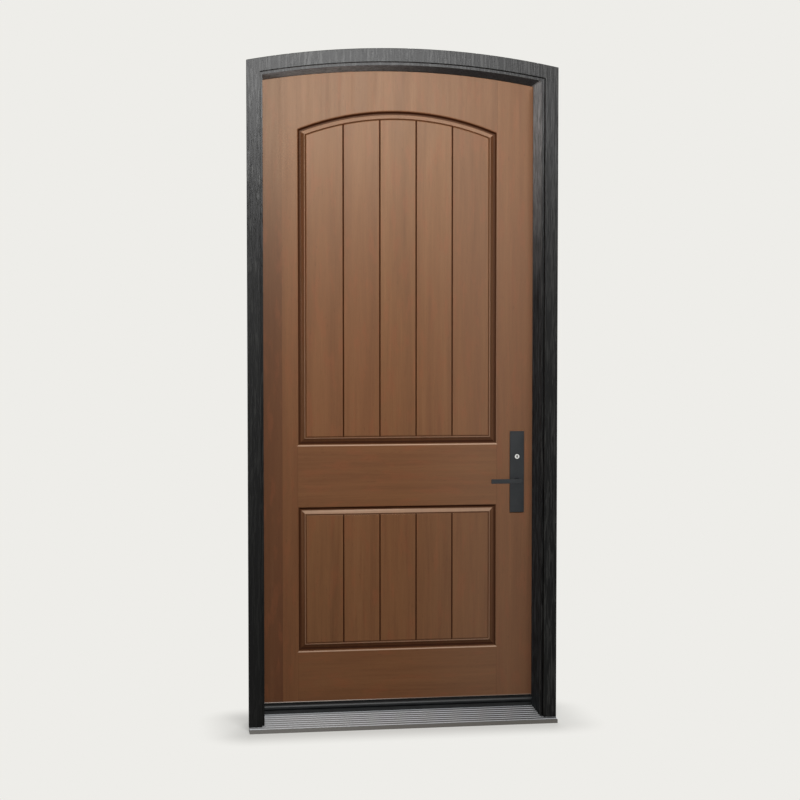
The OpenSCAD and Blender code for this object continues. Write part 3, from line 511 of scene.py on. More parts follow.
def black_frame(f):
    whole = f.place()
    x, y, z = f.axes(whole)
    sway = SWAY * f.grain(whole, (9, 9, 5), 2.0)
    spot = f.point(x + sway, y + sway, z)
    crest = f.smooth(f.grain(spot, (170, 170, 9), 3.0, 0.6, 0.6), 0.42, 0.62)
    fine = f.grain(spot, (560, 560, 26), 2.0, 0.6)
    swell = f.grain(spot, (42, 42, 2.4), 2.0, 0.5)
    paint = f.ramp(0.75 * crest + 0.25 * swell, PAINT)
    # Painted shade: the casing is blended darker towards its lower left.
    shade_low_left = f.smooth(x, -0.20, -0.53) * f.smooth(z, 1.7, 0.3)
    paint = f.blend(shade_low_left * 0.7, paint, srgb(3, 3, 3))
    reveal, edge, sheen_towards_top = dull_places(f, x, y, z)
    paint = f.blend(reveal, paint, f.ramp(crest, REVEAL_SHEEN_PAINT))
    ragged = f.smooth(f.grain(spot, (52, 52, 15), 4.0, 0.65, 0.8), 0.40, 0.60)
    # Painted sheen: the reveal and the head casing's lower edge turn a ragged pale grey towards the top, and
    # the soffit most at its left end.
    paint = f.blend(reveal * sheen_towards_top * (0.36 + 0.24 * crest + 0.40 * ragged), paint, srgb(168, 170, 171))
    paint = f.blend(edge * sheen_towards_top * (0.25 + 0.45 * ragged), paint, srgb(140, 142, 143))
    calm = f.smooth(z, 1.95, 2.42, 1.0, 0.32)
    relief = f.bump((0.55 * crest + 0.20 * fine + 0.40 * swell) * calm, 0.60, 1.2 * MM)
    f.set(base_color=paint, roughness=0.36 - 0.08 * crest * calm, normal=relief, specular_ior_level=0.13)
    f.flatten(reveal * 0.9, paint, relief)


keep(black_frame)

# %% [markdown]
# ## Metals, rubber and composite
# The handle set is powder coated. The deck of the sill is bare extruded metal with draw lines along it,
# worn bright on its ridges, with painted light towards the hinge side and painted shade towards the lock
# side. The lock's working parts are zinc plated, and the key cylinder is satin nickel, with painted shade
# round the keyway. Each finish gets one or two small patterns at their own scale. A metal needs something
# to reflect, so roughness matters most.

# %% Dark bronze
def dark_bronze(f):
    whole = f.place()
    grit = f.grain(whole, (1400,) * 3, 2.0, 0.6)
    cloud = f.grain(whole, (22,) * 3, 3.0, 0.5)
    coat = f.ramp(0.7 * cloud + 0.3 * grit, [(0.3, srgb(26, 28, 30)), (0.7, srgb(33, 35, 37))])
    f.set(base_color=coat, roughness=0.40 + 0.14 * cloud, normal=f.bump(grit, 0.25, 0.08 * MM),
          metallic=0.15, specular_ior_level=0.22)


keep(dark_bronze)

# %% Mill aluminium
RIDGE_PITCH = 24 * MM
FIRST_RIDGE = -22 * MM
RIDGE_SOFT = (2.2 * MM, 5.0 * MM)
RIDGES_FROM = -29 * MM
NOSE_TO = -29.5 * MM


def mill_aluminium(f):
    whole = f.place()
    x, y = f.axes(whole)[:2]
    draw = f.grain(whole, (3, 1500, 1500), 3.0, 0.7)
    cloud = f.grain(whole, (9, 40, 40), 3.0, 0.6)
    metal = f.ramp(0.55 * draw + 0.45 * cloud, [(0.25, srgb(98, 99, 101)), (0.75, srgb(127, 128, 130))])
    # Painted light and shade: the deck is lighter towards the hinge side and darker towards the lock side,
    # and its worn ridges are painted brighter towards the hinge side as well.
    metal = f.blend(f.smooth(x, 0.1, -0.5) * 0.30, metal, srgb(220, 222, 224))
    metal = f.blend(f.smooth(x, -0.1, 0.5) * 0.62, metal, srgb(40, 41, 43))
    turn = (y - FIRST_RIDGE) / RIDGE_PITCH
    off_ridge = abs(turn - round(turn)) * RIDGE_PITCH
    worn = (1 - f.smooth(off_ridge, *RIDGE_SOFT)) * (y > RIDGES_FROM)
    metal = f.blend(worn * f.smooth(x, -0.1, 0.5, 0.88, 0.70), metal, srgb(217, 220, 223))
    metal = f.blend((y < NOSE_TO) * 0.85, metal, srgb(92, 88, 83))
    f.set(base_color=metal, metallic=0.30, roughness=0.46 + 0.14 * draw,
          normal=f.bump(draw, 0.30, 0.05 * MM), specular_ior_level=0.3)


keep(mill_aluminium)

# %% Plated steel and nickel
LOCK_X = SLAB_HALF - 69 * MM
LEVER_Z = 909 * MM
CYLINDER_Z = 1001 * MM
KEYWAY_SHADE_HALF_W = 3.4 * MM
KEYWAY_SHADE_HALF_H = 5.7 * MM


def plated_steel(f):
    whole = f.place()
    brush = f.grain(whole, (1600, 1600, 30), 2.0, 0.6)
    bloom = f.grain(whole, (60,) * 3, 4.0, 0.6)
    metal = f.ramp(0.5 * brush + 0.5 * bloom, [(0.3, srgb(150, 152, 152)), (0.7, srgb(190, 191, 190))])
    f.set(base_color=metal, metallic=1.0, roughness=0.26 + 0.20 * bloom,
          normal=f.bump(brush, 0.15, 0.03 * MM))


def bright_nickel(f):
    whole = f.place()
    x, _, z = f.axes(whole)
    turned = f.grain(whole, (900,) * 3, 2.0, 0.5)
    metal = f.ramp(turned, [(0.3, srgb(205, 205, 203)), (0.7, srgb(232, 232, 230))])
    aside = (x - LOCK_X) / KEYWAY_SHADE_HALF_W
    above = (z - CYLINDER_Z) / KEYWAY_SHADE_HALF_H
    # Painted shade: the nickel is blended dark round the keyway.
    keyway_shade = 1 - f.smooth(aside * aside + above * above, 0.70, 1.20)
    metal = f.blend(keyway_shade * 0.9, metal, srgb(44, 44, 45))
    f.set(base_color=metal, metallic=1.0, roughness=0.24 + 0.10 * turned,
          normal=f.bump(turned, 0.08, 0.02 * MM))


keep(plated_steel)
keep(bright_nickel)

# %% Rubber, composite, lumber and foam
def black_seal(f):
    whole = f.place()
    speck = f.grain(whole, (1100,) * 3, 3.0, 0.6)
    dust = f.grain(whole, (35,) * 3, 3.0, 0.5)
    rubber = f.ramp(dust, [(0.3, srgb(20, 20, 20)), (0.7, srgb(30, 30, 29))])
    f.set(base_color=rubber, roughness=0.62 + 0.14 * dust, normal=f.bump(speck, 0.3, 0.1 * MM))


def sill_composite(f):
    whole = f.place()
    draw = f.grain(whole, (4, 900, 900), 2.0, 0.6)
    dust = f.grain(whole, (18, 60, 60), 4.0, 0.6)
    vinyl = f.ramp(dust, [(0.35, srgb(14, 15, 16)), (0.75, srgb(28, 30, 31))])
    f.set(base_color=vinyl, roughness=0.36 + 0.18 * dust, normal=f.bump(draw, 0.2, 0.06 * MM),
          specular_ior_level=0.25)


def lumber(f):
    whole = f.place()
    ring = f.grain(whole, (60, 160, 2.2), 4.0, 0.6, 0.6)
    fleck = f.grain(whole, (500, 500, 22), 2.0, 0.6)
    wood = f.ramp(0.7 * ring + 0.3 * fleck, [(0.3, srgb(74, 44, 27)), (0.5, srgb(102, 66, 42)),
                                             (0.72, srgb(124, 84, 56))])
    f.set(base_color=wood, roughness=0.55 + 0.12 * fleck, normal=f.bump(ring, 0.3, 0.3 * MM))


def foam(f):
    cell = f.node("TexVoronoi", {}, {"Vector": f.place(), "Scale": 900.0}, "Distance")
    tint = f.ramp(cell, [(0.2, srgb(214, 199, 158)), (0.8, srgb(236, 224, 188))])
    f.set(base_color=tint, roughness=0.9, normal=f.bump(cell, 0.4, 0.3 * MM))


for wire_up in (black_seal, sill_composite, lumber, foam):
    keep(wire_up)

# %% [markdown]
# ## Finishes for the solids that stay
# Most solids already have the right shape. The record says which slot each one takes, so one loop gives
# every solid its finish. Hard arrises never look real, because a true edge always catches a thread of
# light, so the plain bolts get a Weld and a narrow Bevel that leave their meshes untouched.

# %% Give the solids their finishes
for row in frame["record"]["subparts"]:
    node = nodes[row["node"]]
    finish = finishes[row["material_slot"]]
    if node.material_slots:
        node.material_slots[0].material = finish
    else:
        node.data.materials.append(finish)
print("finishes:", sorted(finishes))

# %% Ease the plain bolts
BOLTS = ("latch_bolt", "deadbolt", "upper_tongue_bolt", "lower_tongue_bolt")
BOLT_ROUND = 0.5 * MM
EASE_ABOVE = math.radians(40)
NEAR = 0.01 * MM


def ease(node, width):
    """Rounds a solid's sharp edges with modifiers."""
    weld = node.modifiers.new("weld", "WELD")
    weld.merge_threshold = NEAR
    bevel = node.modifiers.new("ease", "BEVEL")
    bevel.width = width
    bevel.segments = 2
    bevel.limit_method = "ANGLE"
    bevel.angle_limit = EASE_ABOVE
    bevel.harden_normals = True


for name in BOLTS:
    ease(nodes[name], BOLT_ROUND)
print("eased:", len(BOLTS))

# %% [markdown]
# ## New pieces
# A bmesh holds a piece while it is shaped. When it is done it becomes an object at the origin that rides
# on its body, takes its slot's finish and hides the solid it stands for, if any. The helpers below are
# shared by all the pieces.

# %% From a bmesh to a piece
SAME = 0.005 * MM
SHARP_ABOVE = math.radians(35)


def add_piece(name, bm, body, slot, *stands_for):
    bmesh.ops.remove_doubles(bm, verts=bm.verts, dist=SAME)
    mesh = bpy.data.meshes.new(name)
    bm.to_mesh(mesh)
    bm.free()
    mesh.materials.append(finishes[slot])
    mesh.shade_smooth()
    mesh.set_sharp_from_angle(angle=SHARP_ABOVE)
    piece = bpy.data.objects.new(name, mesh)
    flat = piece.modifiers.new("even_normals", "WEIGHTED_NORMAL")
    flat.keep_sharp = True
    scene.collection.objects.link(piece)
    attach(piece, body)
    if stands_for:
        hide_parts(*stands_for)
    print(name, "faces:", len(mesh.polygons))


def only(kind, geom):
    """The corners or the faces among what an operator gives back."""
    return [g for g in geom if isinstance(g, kind)]


tell("corners joined, in mm:", SAME / MM)

# %% Rings of edges
def edges_of(bm, ring):
    return [bm.edges.get(pair) for pair in zip(ring, ring[1:] + ring[:1])]


def ring_of(bm, points):
    """Corners of a closed loop of new edges through the points."""
    ring = [bm.verts.new(p) for p in points]
    for pair in zip(ring, ring[1:] + ring[:1]):
        bm.edges.new(pair)
    return ring


def step_ring(bm, ring, points):
    """Extrudes a ring on to the points. Gives back the new ring and the faces between."""
    made = bmesh.ops.extrude_edge_only(bm, edges=edges_of(bm, ring))["geom"]
    fresh = set(only(BMVert, made))
    new_ring = []
    for corner, place in zip(ring, points):
        twin = next(e.other_vert(corner) for e in corner.link_edges if e.other_vert(corner) in fresh)
        twin.co = place
        new_ring.append(twin)
    return new_ring, only(BMFace, made)


def arch_points(half, crown, radius, steps):
    """Points in X and Z along an arch, from its right spring to its left one."""
    reach = math.asin(half / radius)
    turns = [reach - 2 * reach * i / steps for i in range(steps + 1)]
    return [(radius * math.sin(t), crown - radius + radius * math.cos(t)) for t in turns]


def hole_edges(bm, y, z, radius, sides):
    """A new ring of edges for a hole on the lock's upright line."""
    turn = Matrix.Translation((LOCK_X, y, z)) @ Matrix.Rotation(math.pi / 2, 4, "X")
    return edges_of(bm, bmesh.ops.create_circle(bm, segments=sides, radius=radius, matrix=turn)["verts"])


tell("spring of the slab's arch:", *arch_points(SLAB_HALF, SLAB_CROWN, SLAB_R, 1)[0])

# %% Solid shapes and soft edges
MID_Y = (FACE_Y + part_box("interior_skin")[1].y) / 2
LATHE_STEPS = 48


def round_edges(bm, edges, radius):
    bmesh.ops.bevel(bm, geom=edges, offset=radius, offset_type="OFFSET", affect="EDGES", segments=3,
                    profile=0.5, material=-1)


def face_outwards(bm):
    bmesh.ops.recalc_face_normals(bm, faces=bm.faces[:])


def thicken(bm, faces, depth):
    """Extrudes flat faces along Y and turns every face outwards."""
    made = bmesh.ops.extrude_face_region(bm, geom=faces)["geom"]
    bmesh.ops.translate(bm, verts=only(BMVert, made), vec=(0, depth, 0))
    face_outwards(bm)


def block(bm, middle, size):
    """A box by its middle and its size. Gives back its corners and its edges."""
    place = Matrix.Translation(middle) @ Matrix.Diagonal((*size, 1))
    corners = bmesh.ops.create_cube(bm, size=1, matrix=place)["verts"]
    return corners, list({e for v in corners for e in v.link_edges})


def lathe(bm, outline, z):
    """Turns an outline of radii and depths round the lock's axis at a height."""
    corners = [bm.verts.new((LOCK_X + r, y, z)) for r, y in outline]
    edges = [bm.edges.new(pair) for pair in zip(corners, corners[1:])]
    bmesh.ops.spin(bm, geom=corners + edges, cent=(LOCK_X, 0, z), axis=(0, 1, 0), angle=2 * math.pi,
                   steps=LATHE_STEPS, use_merge=True)


def close_up(bm):
    """Joins corners that coincide and turns every face outwards."""
    bmesh.ops.remove_doubles(bm, verts=bm.verts, dist=SAME)
    face_outwards(bm)


def turn_indoors(bm):
    """Mirrors a piece through the middle of the slab."""
    bmesh.ops.scale(bm, verts=bm.verts, vec=(1, -1, 1), space=Matrix.Translation((0, -MID_Y, 0)))
    bmesh.ops.reverse_faces(bm, faces=bm.faces[:])


tell("middle of the slab:", MID_Y)

# %% [markdown]
# ## The moulded skins
# A sheet with two moulded panels could be sculpted or cut, but the moulding has one profile all the way
# round. So the flat sheet is filled round the two outlines, and each step of the profile is a loop of its
# own, smaller and deeper than the one before. Extruding from loop to loop gives mitred corners without
# any cutting. Inset would do the same on a square panel, but under the arch its corners run past the
# short edges of the curve. Last, the field is cut at each joint between planks, and the cuts are pushed
# in to make the V grooves.

# %% Profile of the moulding
# Pairs of millimetres: how far inside the panel's edge, or from the groove's middle, and how deep.
MOULDING = [(-1.2, 0.0), (0.0, 0.08), (1.5, 0.45), (2.5, 0.98), (3.4, 1.62), (4.2, 2.40), (5.0, 3.42),
            (5.9, 4.85), (6.8, 6.40), (7.8, 7.60), (8.8, 8.45), (9.6, 8.85), (10.5, 9.0), (13.5, 9.0),
            (14.2, 8.80), (15.0, 8.44), (26.6, 1.98), (27.4, 1.56), (28.1, 1.48), (28.8, 1.85),
            (30.9, 3.60), (31.5, 3.85), (32.1, 3.60), (34.2, 1.85), (34.9, 1.38), (35.8, 1.20), (37.0, 1.20)]
GROOVE = [(-4.6, 0.0), (-3.4, 0.0), (-2.5, 0.45), (-0.5, 3.2), (0.5, 3.2), (2.5, 0.45), (3.4, 0.0),
          (4.6, 0.0)]
SUPPORT = 3 * MM
ARCH_STEPS = 96
FINE = 0.001 * MM
tell("moulding steps, depth in mm:", len(MOULDING), max(d for _, d in MOULDING))

# %% One panel
def panel_outline(low, high, arched, grow):
    half = PANEL_HALF + grow
    if arched:
        top = arch_points(half, high + grow, PANEL_R + grow, ARCH_STEPS)
    else:
        top = [(half, high + grow), (-half, high + grow)]
    return [(-half, low - grow), (half, low - grow)] + top


def mould_panel(bm, ring, low, high, arched):
    """Steps rings along the profile from the outline inwards, fills the field and grooves it."""
    for inside, deep in MOULDING:
        outline = panel_outline(low, high, arched, -inside * MM)
        field_y = FACE_Y + deep * MM
        ring, band = step_ring(bm, ring, [(x, field_y, z) for x, z in outline])
    patch = bmesh.ops.edgeloop_fill(bm, edges=edges_of(bm, ring))["faces"] + band
    joints = [-FIELD_HALF + i * PLANK_W for i in range(1, PLANKS)]
    cuts = [(joint + offset * MM, depth * MM) for joint in joints for offset, depth in GROOVE]
    for x, _ in cuts:
        geom = set(patch) | {e for f in patch for e in f.edges} | {v for f in patch for v in f.verts}
        made = bmesh.ops.bisect_plane(bm, geom=list(geom), dist=FINE, plane_co=(x, 0, 0),
                                      plane_no=(1, 0, 0))
        patch = only(BMFace, made["geom"])
    field = {v for f in patch for v in f.verts if abs(v.co.y - field_y) < NEAR}
    for x, depth in cuts:
        line = [v for v in field if abs(v.co.x - x) < SAME]
        bmesh.ops.translate(bm, verts=line, vec=(0, depth, 0))


print("grooves in a panel:", PLANKS - 1)

# %% Both skins
SKIN_T = 3 * MM
NOTCH_D = 3.4 * MM
SKIN_HOLES = ((LEVER_Z, 12 * MM), (CYLINDER_Z, 13.2 * MM))
SKIN_HOLE_SIDES = 40
HINGES = range(1, 5)
PANELS = ((*LOWER_Z, False), (*UPPER_Z, True))


def slab_outline(notches):
    """Outline of a skin in X and Z; notches are the hinge leaves' bottoms and tops on the hinge edge."""
    points = [(-SLAB_HALF, SLAB_BOTTOM), (SLAB_HALF, SLAB_BOTTOM)]
    points += arch_points(SLAB_HALF, SLAB_CROWN, SLAB_R, ARCH_STEPS)
    deep = -SLAB_HALF + NOTCH_D
    for low, high in sorted(notches, reverse=True):
        points += [(-SLAB_HALF, high), (deep, high), (deep, low), (-SLAB_HALF, low)]
    return points


def make_skin(name, node, indoors):
    bm = bmesh.new()
    leaves = [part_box(f"door_hinge_leaf_{i}") for i in HINGES] if indoors else []
    outlines = [slab_outline([(low.z, high.z) for low, high in leaves])]
    outlines += [panel_outline(*panel, SUPPORT) for panel in PANELS]
    rings = [ring_of(bm, [(x, FACE_Y, z) for x, z in outline]) for outline in outlines]
    borders = [edge for ring in rings for edge in edges_of(bm, ring)]
    for z, radius in SKIN_HOLES:
        borders += hole_edges(bm, FACE_Y, z, radius, SKIN_HOLE_SIDES)
    bmesh.ops.triangle_fill(bm, use_beauty=True, edges=borders, normal=(0, -1, 0))
    for ring, panel in zip(rings[1:], PANELS):
        mould_panel(bm, ring, *panel)
    face_outwards(bm)
    if sum(f.normal.y * f.calc_area() for f in bm.faces) > 0:
        bmesh.ops.reverse_faces(bm, faces=bm.faces[:])
    bmesh.ops.solidify(bm, geom=bm.faces[:], thickness=SKIN_T)
    if indoors:
        turn_indoors(bm)
    add_piece(name, bm, "door", "stained_skin", node)


make_skin("moulded_outdoor_skin", "exterior_skin", False)
make_skin("moulded_indoor_skin", "interior_skin", True)

# %% [markdown]
# ## The casing
# Three flat boards frame the opening: two upright ones and an arched one, mitred at the corners. Each
# starts as its flat outline, is extruded to its thickness and has its front arrises eased, which is where
# the paint catches the light. The feet of the upright boards follow the slope of the deck.

# %% Sizes of the casing
casing_low, casing_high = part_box("hinge_side_casing")
CASING_X = (-casing_high.x, -casing_low.x)
CASING_Y = (casing_low.y, casing_high.y)
CASING_W = CASING_X[1] - CASING_X[0]
CASING_R = SLAB_R + CASING_X[1] - SLAB_HALF
CASING_ROUND = 1.6 * MM
END_SPAN = 30 * MM
DECK_FRONT_Y, DECK_FRONT_Z = -30 * MM, 15 * MM
DECK_SLOPE = math.tan(math.radians(4.5))
FOOT_BELOW = 10 * MM
head_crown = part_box("head_casing")[1].z
outer_arc = arch_points(CASING_X[1], head_crown, CASING_R, ARCH_STEPS)
inner_arc = arch_points(CASING_X[0], head_crown - CASING_W, CASING_R - CASING_W, ARCH_STEPS)
tell("casing, its width and spring:", CASING_W, outer_arc[0][1])

# %% Casing boards
def casing_board(outline):
    """A flat outline in X and Z, made into a board with its long front edges eased."""
    front, back = CASING_Y
    bm = bmesh.new()
    ring = ring_of(bm, [(x, front, z) for x, z in outline])
    thicken(bm, bmesh.ops.edgeloop_fill(bm, edges=edges_of(bm, ring))["faces"], back - front)
    arris = [e for e in bm.edges if all(abs(v.co.y - front) < NEAR for v in e.verts)]
    long_arris = [e for e in arris if abs(e.verts[0].co.x - e.verts[1].co.x) < END_SPAN]
    round_edges(bm, long_arris, CASING_ROUND)
    return bm


head = casing_board(outer_arc + inner_arc[::-1])
add_piece("arched_head_casing", head, "frame", "black_frame", "head_casing")
corners = [(CASING_X[0], 0), (CASING_X[1], 0), outer_arc[0], inner_arc[0]]
for side, name, node in ((-1, "hinge_casing_board", "hinge_side_casing"),
                         (1, "strike_casing_board", "strike_side_casing")):
    upright = casing_board([(side * x, z) for x, z in corners])
    for v in upright.verts:
        if v.co.z < FOOT_BELOW:
            v.co.z = DECK_FRONT_Z + (v.co.y - DECK_FRONT_Y) * DECK_SLOPE
    add_piece(name, upright, "frame", "black_frame", node)

# %% [markdown]
# ## The levers
# A lever is a flat bar on a round neck. The bar is a block with rounded edges; the neck is a short turned
# stem with a small chamfer where it meets the plate. The indoor lever is the same piece, mirrored through
# the slab.

# %% Lever pair
lever_low, lever_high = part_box("exterior_lever")
BAR_H, BAR_T, BAR_ROUND = 17 * MM, 10 * MM, 1.1 * MM
NECK_R, NECK_CHAMFER = 9.95 * MM, 0.4 * MM
NECK_START = 0.6


def make_lever(name, node, indoors):
    bm = bmesh.new()
    middle = ((lever_low.x + lever_high.x) / 2, lever_low.y + BAR_T / 2, LEVER_Z)
    _, bar_edges = block(bm, middle, (lever_high.x - lever_low.x, BAR_T, BAR_H))
    round_edges(bm, bar_edges, BAR_ROUND)
    start, end = lever_low.y + BAR_T * NECK_START, lever_high.y
    lathe(bm, [(0.0, start), (NECK_R, start), (NECK_R, end - NECK_CHAMFER), (NECK_R - NECK_CHAMFER, end),
               (0.0, end)], LEVER_Z)
    close_up(bm)
    if indoors:
        turn_indoors(bm)
    add_piece(name, bm, "lever", "dark_bronze", node)


make_lever("outdoor_lever", "exterior_lever", False)
make_lever("indoor_lever", "interior_lever", True)

# %% [markdown]
# ## Escutcheons and thumbturn
# An escutcheon is a plate with a machined edge, so its arris is soft all round. The flat face is filled
# round the holes, extruded to its thickness and bevelled on the outside only; a bevel on every edge would
# crumple the thin triangles between the holes. The thumbturn is a turned rose with a grip that narrows to
# its end.

# %% Escutcheon pair
PLATE_BOLT_Z = (805 * MM, 1079 * MM)
PLATE_BOLT_HOLE = 4.55 * MM
LEVER_HOLE = (LEVER_Z, 10 * MM)
OUTDOOR_HOLES = (LEVER_HOLE, (CYLINDER_Z, 8.85 * MM))
INDOOR_HOLES = (LEVER_HOLE, (CYLINDER_Z, 6.05 * MM), *((z, PLATE_BOLT_HOLE) for z in PLATE_BOLT_Z))
PLATE_ROUND = 0.9 * MM
FOLD_ABOVE = 1.0


def make_plate(name, node, holes, indoors):
    low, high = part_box(node)
    front, back = (high.y, low.y) if indoors else (low.y, high.y)
    bm = bmesh.new()
    corners = [(low.x, low.z), (high.x, low.z), (high.x, high.z), (low.x, high.z)]
    edges = edges_of(bm, ring_of(bm, [(x, front, z) for x, z in corners]))
    for z, radius in holes:
        edges += hole_edges(bm, front, z, radius, LATHE_STEPS)
    made = bmesh.ops.triangle_fill(bm, use_beauty=True, edges=edges, normal=(0, -1, 0))["geom"]
    thicken(bm, only(BMFace, made), back - front)

    def is_arris(edge):
        outside = all(min(abs(v.co.x - low.x), abs(v.co.x - high.x)) < FINE for v in edge.verts)
        in_front = any(abs(v.co.y - front) < FINE for v in edge.verts)
        return outside and in_front and len(edge.link_faces) == 2 and edge.calc_face_angle() > FOLD_ABOVE
    round_edges(bm, [e for e in bm.edges if is_arris(e)], PLATE_ROUND)
    add_piece(name, bm, "door", "dark_bronze", node)


make_plate("outdoor_escutcheon", "exterior_escutcheon", OUTDOOR_HOLES, False)
make_plate("indoor_escutcheon", "interior_escutcheon", INDOOR_HOLES, True)

# %% Thumbturn
turn_low, turn_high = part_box("thumbturn")
GRIP_L, GRIP_W, GRIP_ROUND = 16 * MM, 9 * MM, 1.4 * MM
GRIP_SUNK = 1 * MM
GRIP_TAPER = (0.7, 1, 0.94)
ROSE_T, ROSE_SOFT = 3 * MM, 0.6 * MM
ROSE_R = (turn_high.x - turn_low.x) / 2
STEM_R = 6 * MM
rose_top = turn_high.y - GRIP_L
rose_y = rose_top - ROSE_T
bm = bmesh.new()
lathe(bm, [(0.0, turn_low.y), (STEM_R, turn_low.y), (STEM_R, rose_y), (ROSE_R - ROSE_SOFT, rose_y),
           (ROSE_R, rose_y + ROSE_SOFT), (ROSE_R, rose_top - ROSE_SOFT), (ROSE_R - ROSE_SOFT, rose_top),
           (0.0, rose_top)], CYLINDER_Z)
grip_size = (GRIP_W, GRIP_L + GRIP_SUNK, turn_high.z - turn_low.z)
grip_mid = Vector((LOCK_X, turn_high.y - grip_size[1] / 2, CYLINDER_Z))
grip, grip_edges = block(bm, grip_mid, grip_size)
tip = [v for v in grip if v.co.y > grip_mid.y]
bmesh.ops.scale(bm, verts=tip, vec=GRIP_TAPER, space=Matrix.Translation(-grip_mid))
round_edges(bm, grip_edges, GRIP_ROUND)
close_up(bm)
add_piece("thumbturn_grip", bm, "thumbturn", "dark_bronze", "thumbturn")

# %% [markdown]
# ## The keyway
# Inside the plug the keyway is lined with wards and pins, and from outside it looks like a dark slot,
# because its inside lies in shade. A narrow black bar with rounded corners, sunk a little below the face,
# fills the keyway as painted shade.

# %% Painted shade in the keyway
SHADE_BAR_W, SHADE_BAR_H, SHADE_BAR_DEEP = 2.9 * MM, 9.9 * MM, 10.35 * MM
SHADE_BAR_SUNK, SHADE_BAR_ROUND = 2 * MM, 0.6 * MM
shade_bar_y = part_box("key_plug")[0].y + SHADE_BAR_SUNK + SHADE_BAR_DEEP / 2
bm = bmesh.new()
_, shade_bar_edges = block(bm, (LOCK_X, shade_bar_y, CYLINDER_Z), (SHADE_BAR_W, SHADE_BAR_DEEP, SHADE_BAR_H))
inward = [e for e in shade_bar_edges if abs(e.verts[0].co.y - e.verts[1].co.y) > SHADE_BAR_DEEP / 2]
round_edges(bm, inward, SHADE_BAR_ROUND)
add_piece("keyway_wards", bm, "key_plug", "black_seal")

# %% [markdown]
# ## Screws with a cross recess
# Hinges, strikes, faceplate, threshold and escutcheons are held by screws, and an open door shows their
# heads. A real head is forged with a cross in it for the driver. A cross could be cut with a boolean, but
# the head is flat: it is filled between its rim and the outline of the cross, and the cross is then
# stepped down into a pit. The cone and the shank are stepped from the rim in the same way.

# %% One screw
SCREW_SIDES = 24
CROSS_REACH, CROSS_HALF = 0.56, 0.14
PIT_SHRINK, PIT_DEPTH = 0.62, 1.2 * MM


def cross_points(head_r):
    """Outline of a cross in a head, one quarter after another."""
    reach, half = CROSS_REACH * head_r, CROSS_HALF * head_r
    quarter = [Vector((reach, -half)), Vector((reach, half)), Vector((half, half))]
    return [Matrix.Rotation(q * math.pi / 2, 2) @ p for q in range(4) for p in quarter]


def lowered(place, ring, shrink, depth):
    """Where a ring's corners go when it shrinks towards the screw's axis and sinks to a depth."""
    back = place.inverted()
    return [place @ Vector((*((back @ v.co).xy * shrink), depth)) for v in ring]


def add_screw(bm, place, profile):
    """Adds a screw with its head at place; profile gives each radius and its depth along +Z."""
    radius = profile[0][0]
    rim = bmesh.ops.create_circle(bm, segments=SCREW_SIDES, radius=radius, matrix=place)["verts"]
    cross = ring_of(bm, [place @ p.to_3d() for p in cross_points(radius)])
    bmesh.ops.triangle_fill(bm, use_beauty=True, edges=edges_of(bm, rim) + edges_of(bm, cross),
                            normal=place.to_3x3() @ Vector((0, 0, -1)))
    pit, _ = step_ring(bm, cross, lowered(place, cross, PIT_SHRINK, PIT_DEPTH))
    bmesh.ops.edgeloop_fill(bm, edges=edges_of(bm, pit))
    for next_radius, depth in profile[1:]:
        rim, _ = step_ring(bm, rim, lowered(place, rim, next_radius / radius, depth))
        radius = next_radius
    bmesh.ops.edgeloop_fill(bm, edges=edges_of(bm, rim))


tell("cross in a head of radius 1:", CROSS_REACH, CROSS_HALF)

# %% Where the screws sit
TO_RIGHT = Matrix.Rotation(math.pi / 2, 4, "Y")
TO_LEFT = Matrix.Rotation(-math.pi / 2, 4, "Y")
TO_FLOOR = Matrix.Rotation(math.pi, 4, "X")
TO_OUTDOORS = Matrix.Rotation(math.pi / 2, 4, "X")
LEAF_SCREW_IN = (8 * MM, 22 * MM)
LEAF_SCREW_UP = [side * rise * MM for side in (-1, 1) for rise in (13.68, 43.32)]
STRIKE_SCREW_IN = 10 * MM
FACEPLATE_SCREW_Z = [z * MM for z in (271, 841, 1069, 1687)]


def leaf_places(side, x):
    places = []
    for i in HINGES:
        low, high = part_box(f"{side}_hinge_leaf_{i}")
        places += [(x, low.y + y, (low.z + high.z) / 2 + up) for y in LEAF_SCREW_IN for up in LEAF_SCREW_UP]
    return places


def strike_places(x):
    boxes = [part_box(name) for name in ("centre_strike", "lower_strike", "upper_strike")]
    ends = [z for low, high in boxes for z in (low.z + STRIKE_SCREW_IN, high.z - STRIKE_SCREW_IN)]
    return [(x, MID_Y, z) for z in ends]


jamb_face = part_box("jamb_leaf_screws")[1].x
strike_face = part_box("strike_screws")[0].x
level_low, level_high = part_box("threshold_screws")
bolt_low, bolt_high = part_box("escutcheon_bolts")
tell("screw faces:", jamb_face, strike_face, level_high.z, bolt_high.y)

# %% All the screws
SCREW_HEAD_R, SCREW_R, SCREW_CONE = 4 * MM, 2 * MM, 2.2 * MM
BOLT_HEAD_R, BOLT_R, BOLT_CONE = 4.5 * MM, 2.5 * MM, 2.5 * MM
LEVEL_HEAD_R, LEVEL_R, LEVEL_HEAD_T, LEVEL_L = 5 * MM, 2.5 * MM, 4 * MM, 24 * MM
LEVEL_COUNT = 5
DOOR_SCREW_L, JAMB_SCREW_L, STRIKE_SCREW_L = 32 * MM, 17 * MM, 15 * MM


def make_screws(name, node, body, slot, turn, places, profile):
    bm = bmesh.new()
    for place in places:
        add_screw(bm, Matrix.Translation(place) @ turn, profile)
    face_outwards(bm)
    add_piece(name, bm, body, slot, node)


def wood_screw(length):
    return [(SCREW_HEAD_R, 0), (SCREW_R, SCREW_CONE), (SCREW_R, length)]


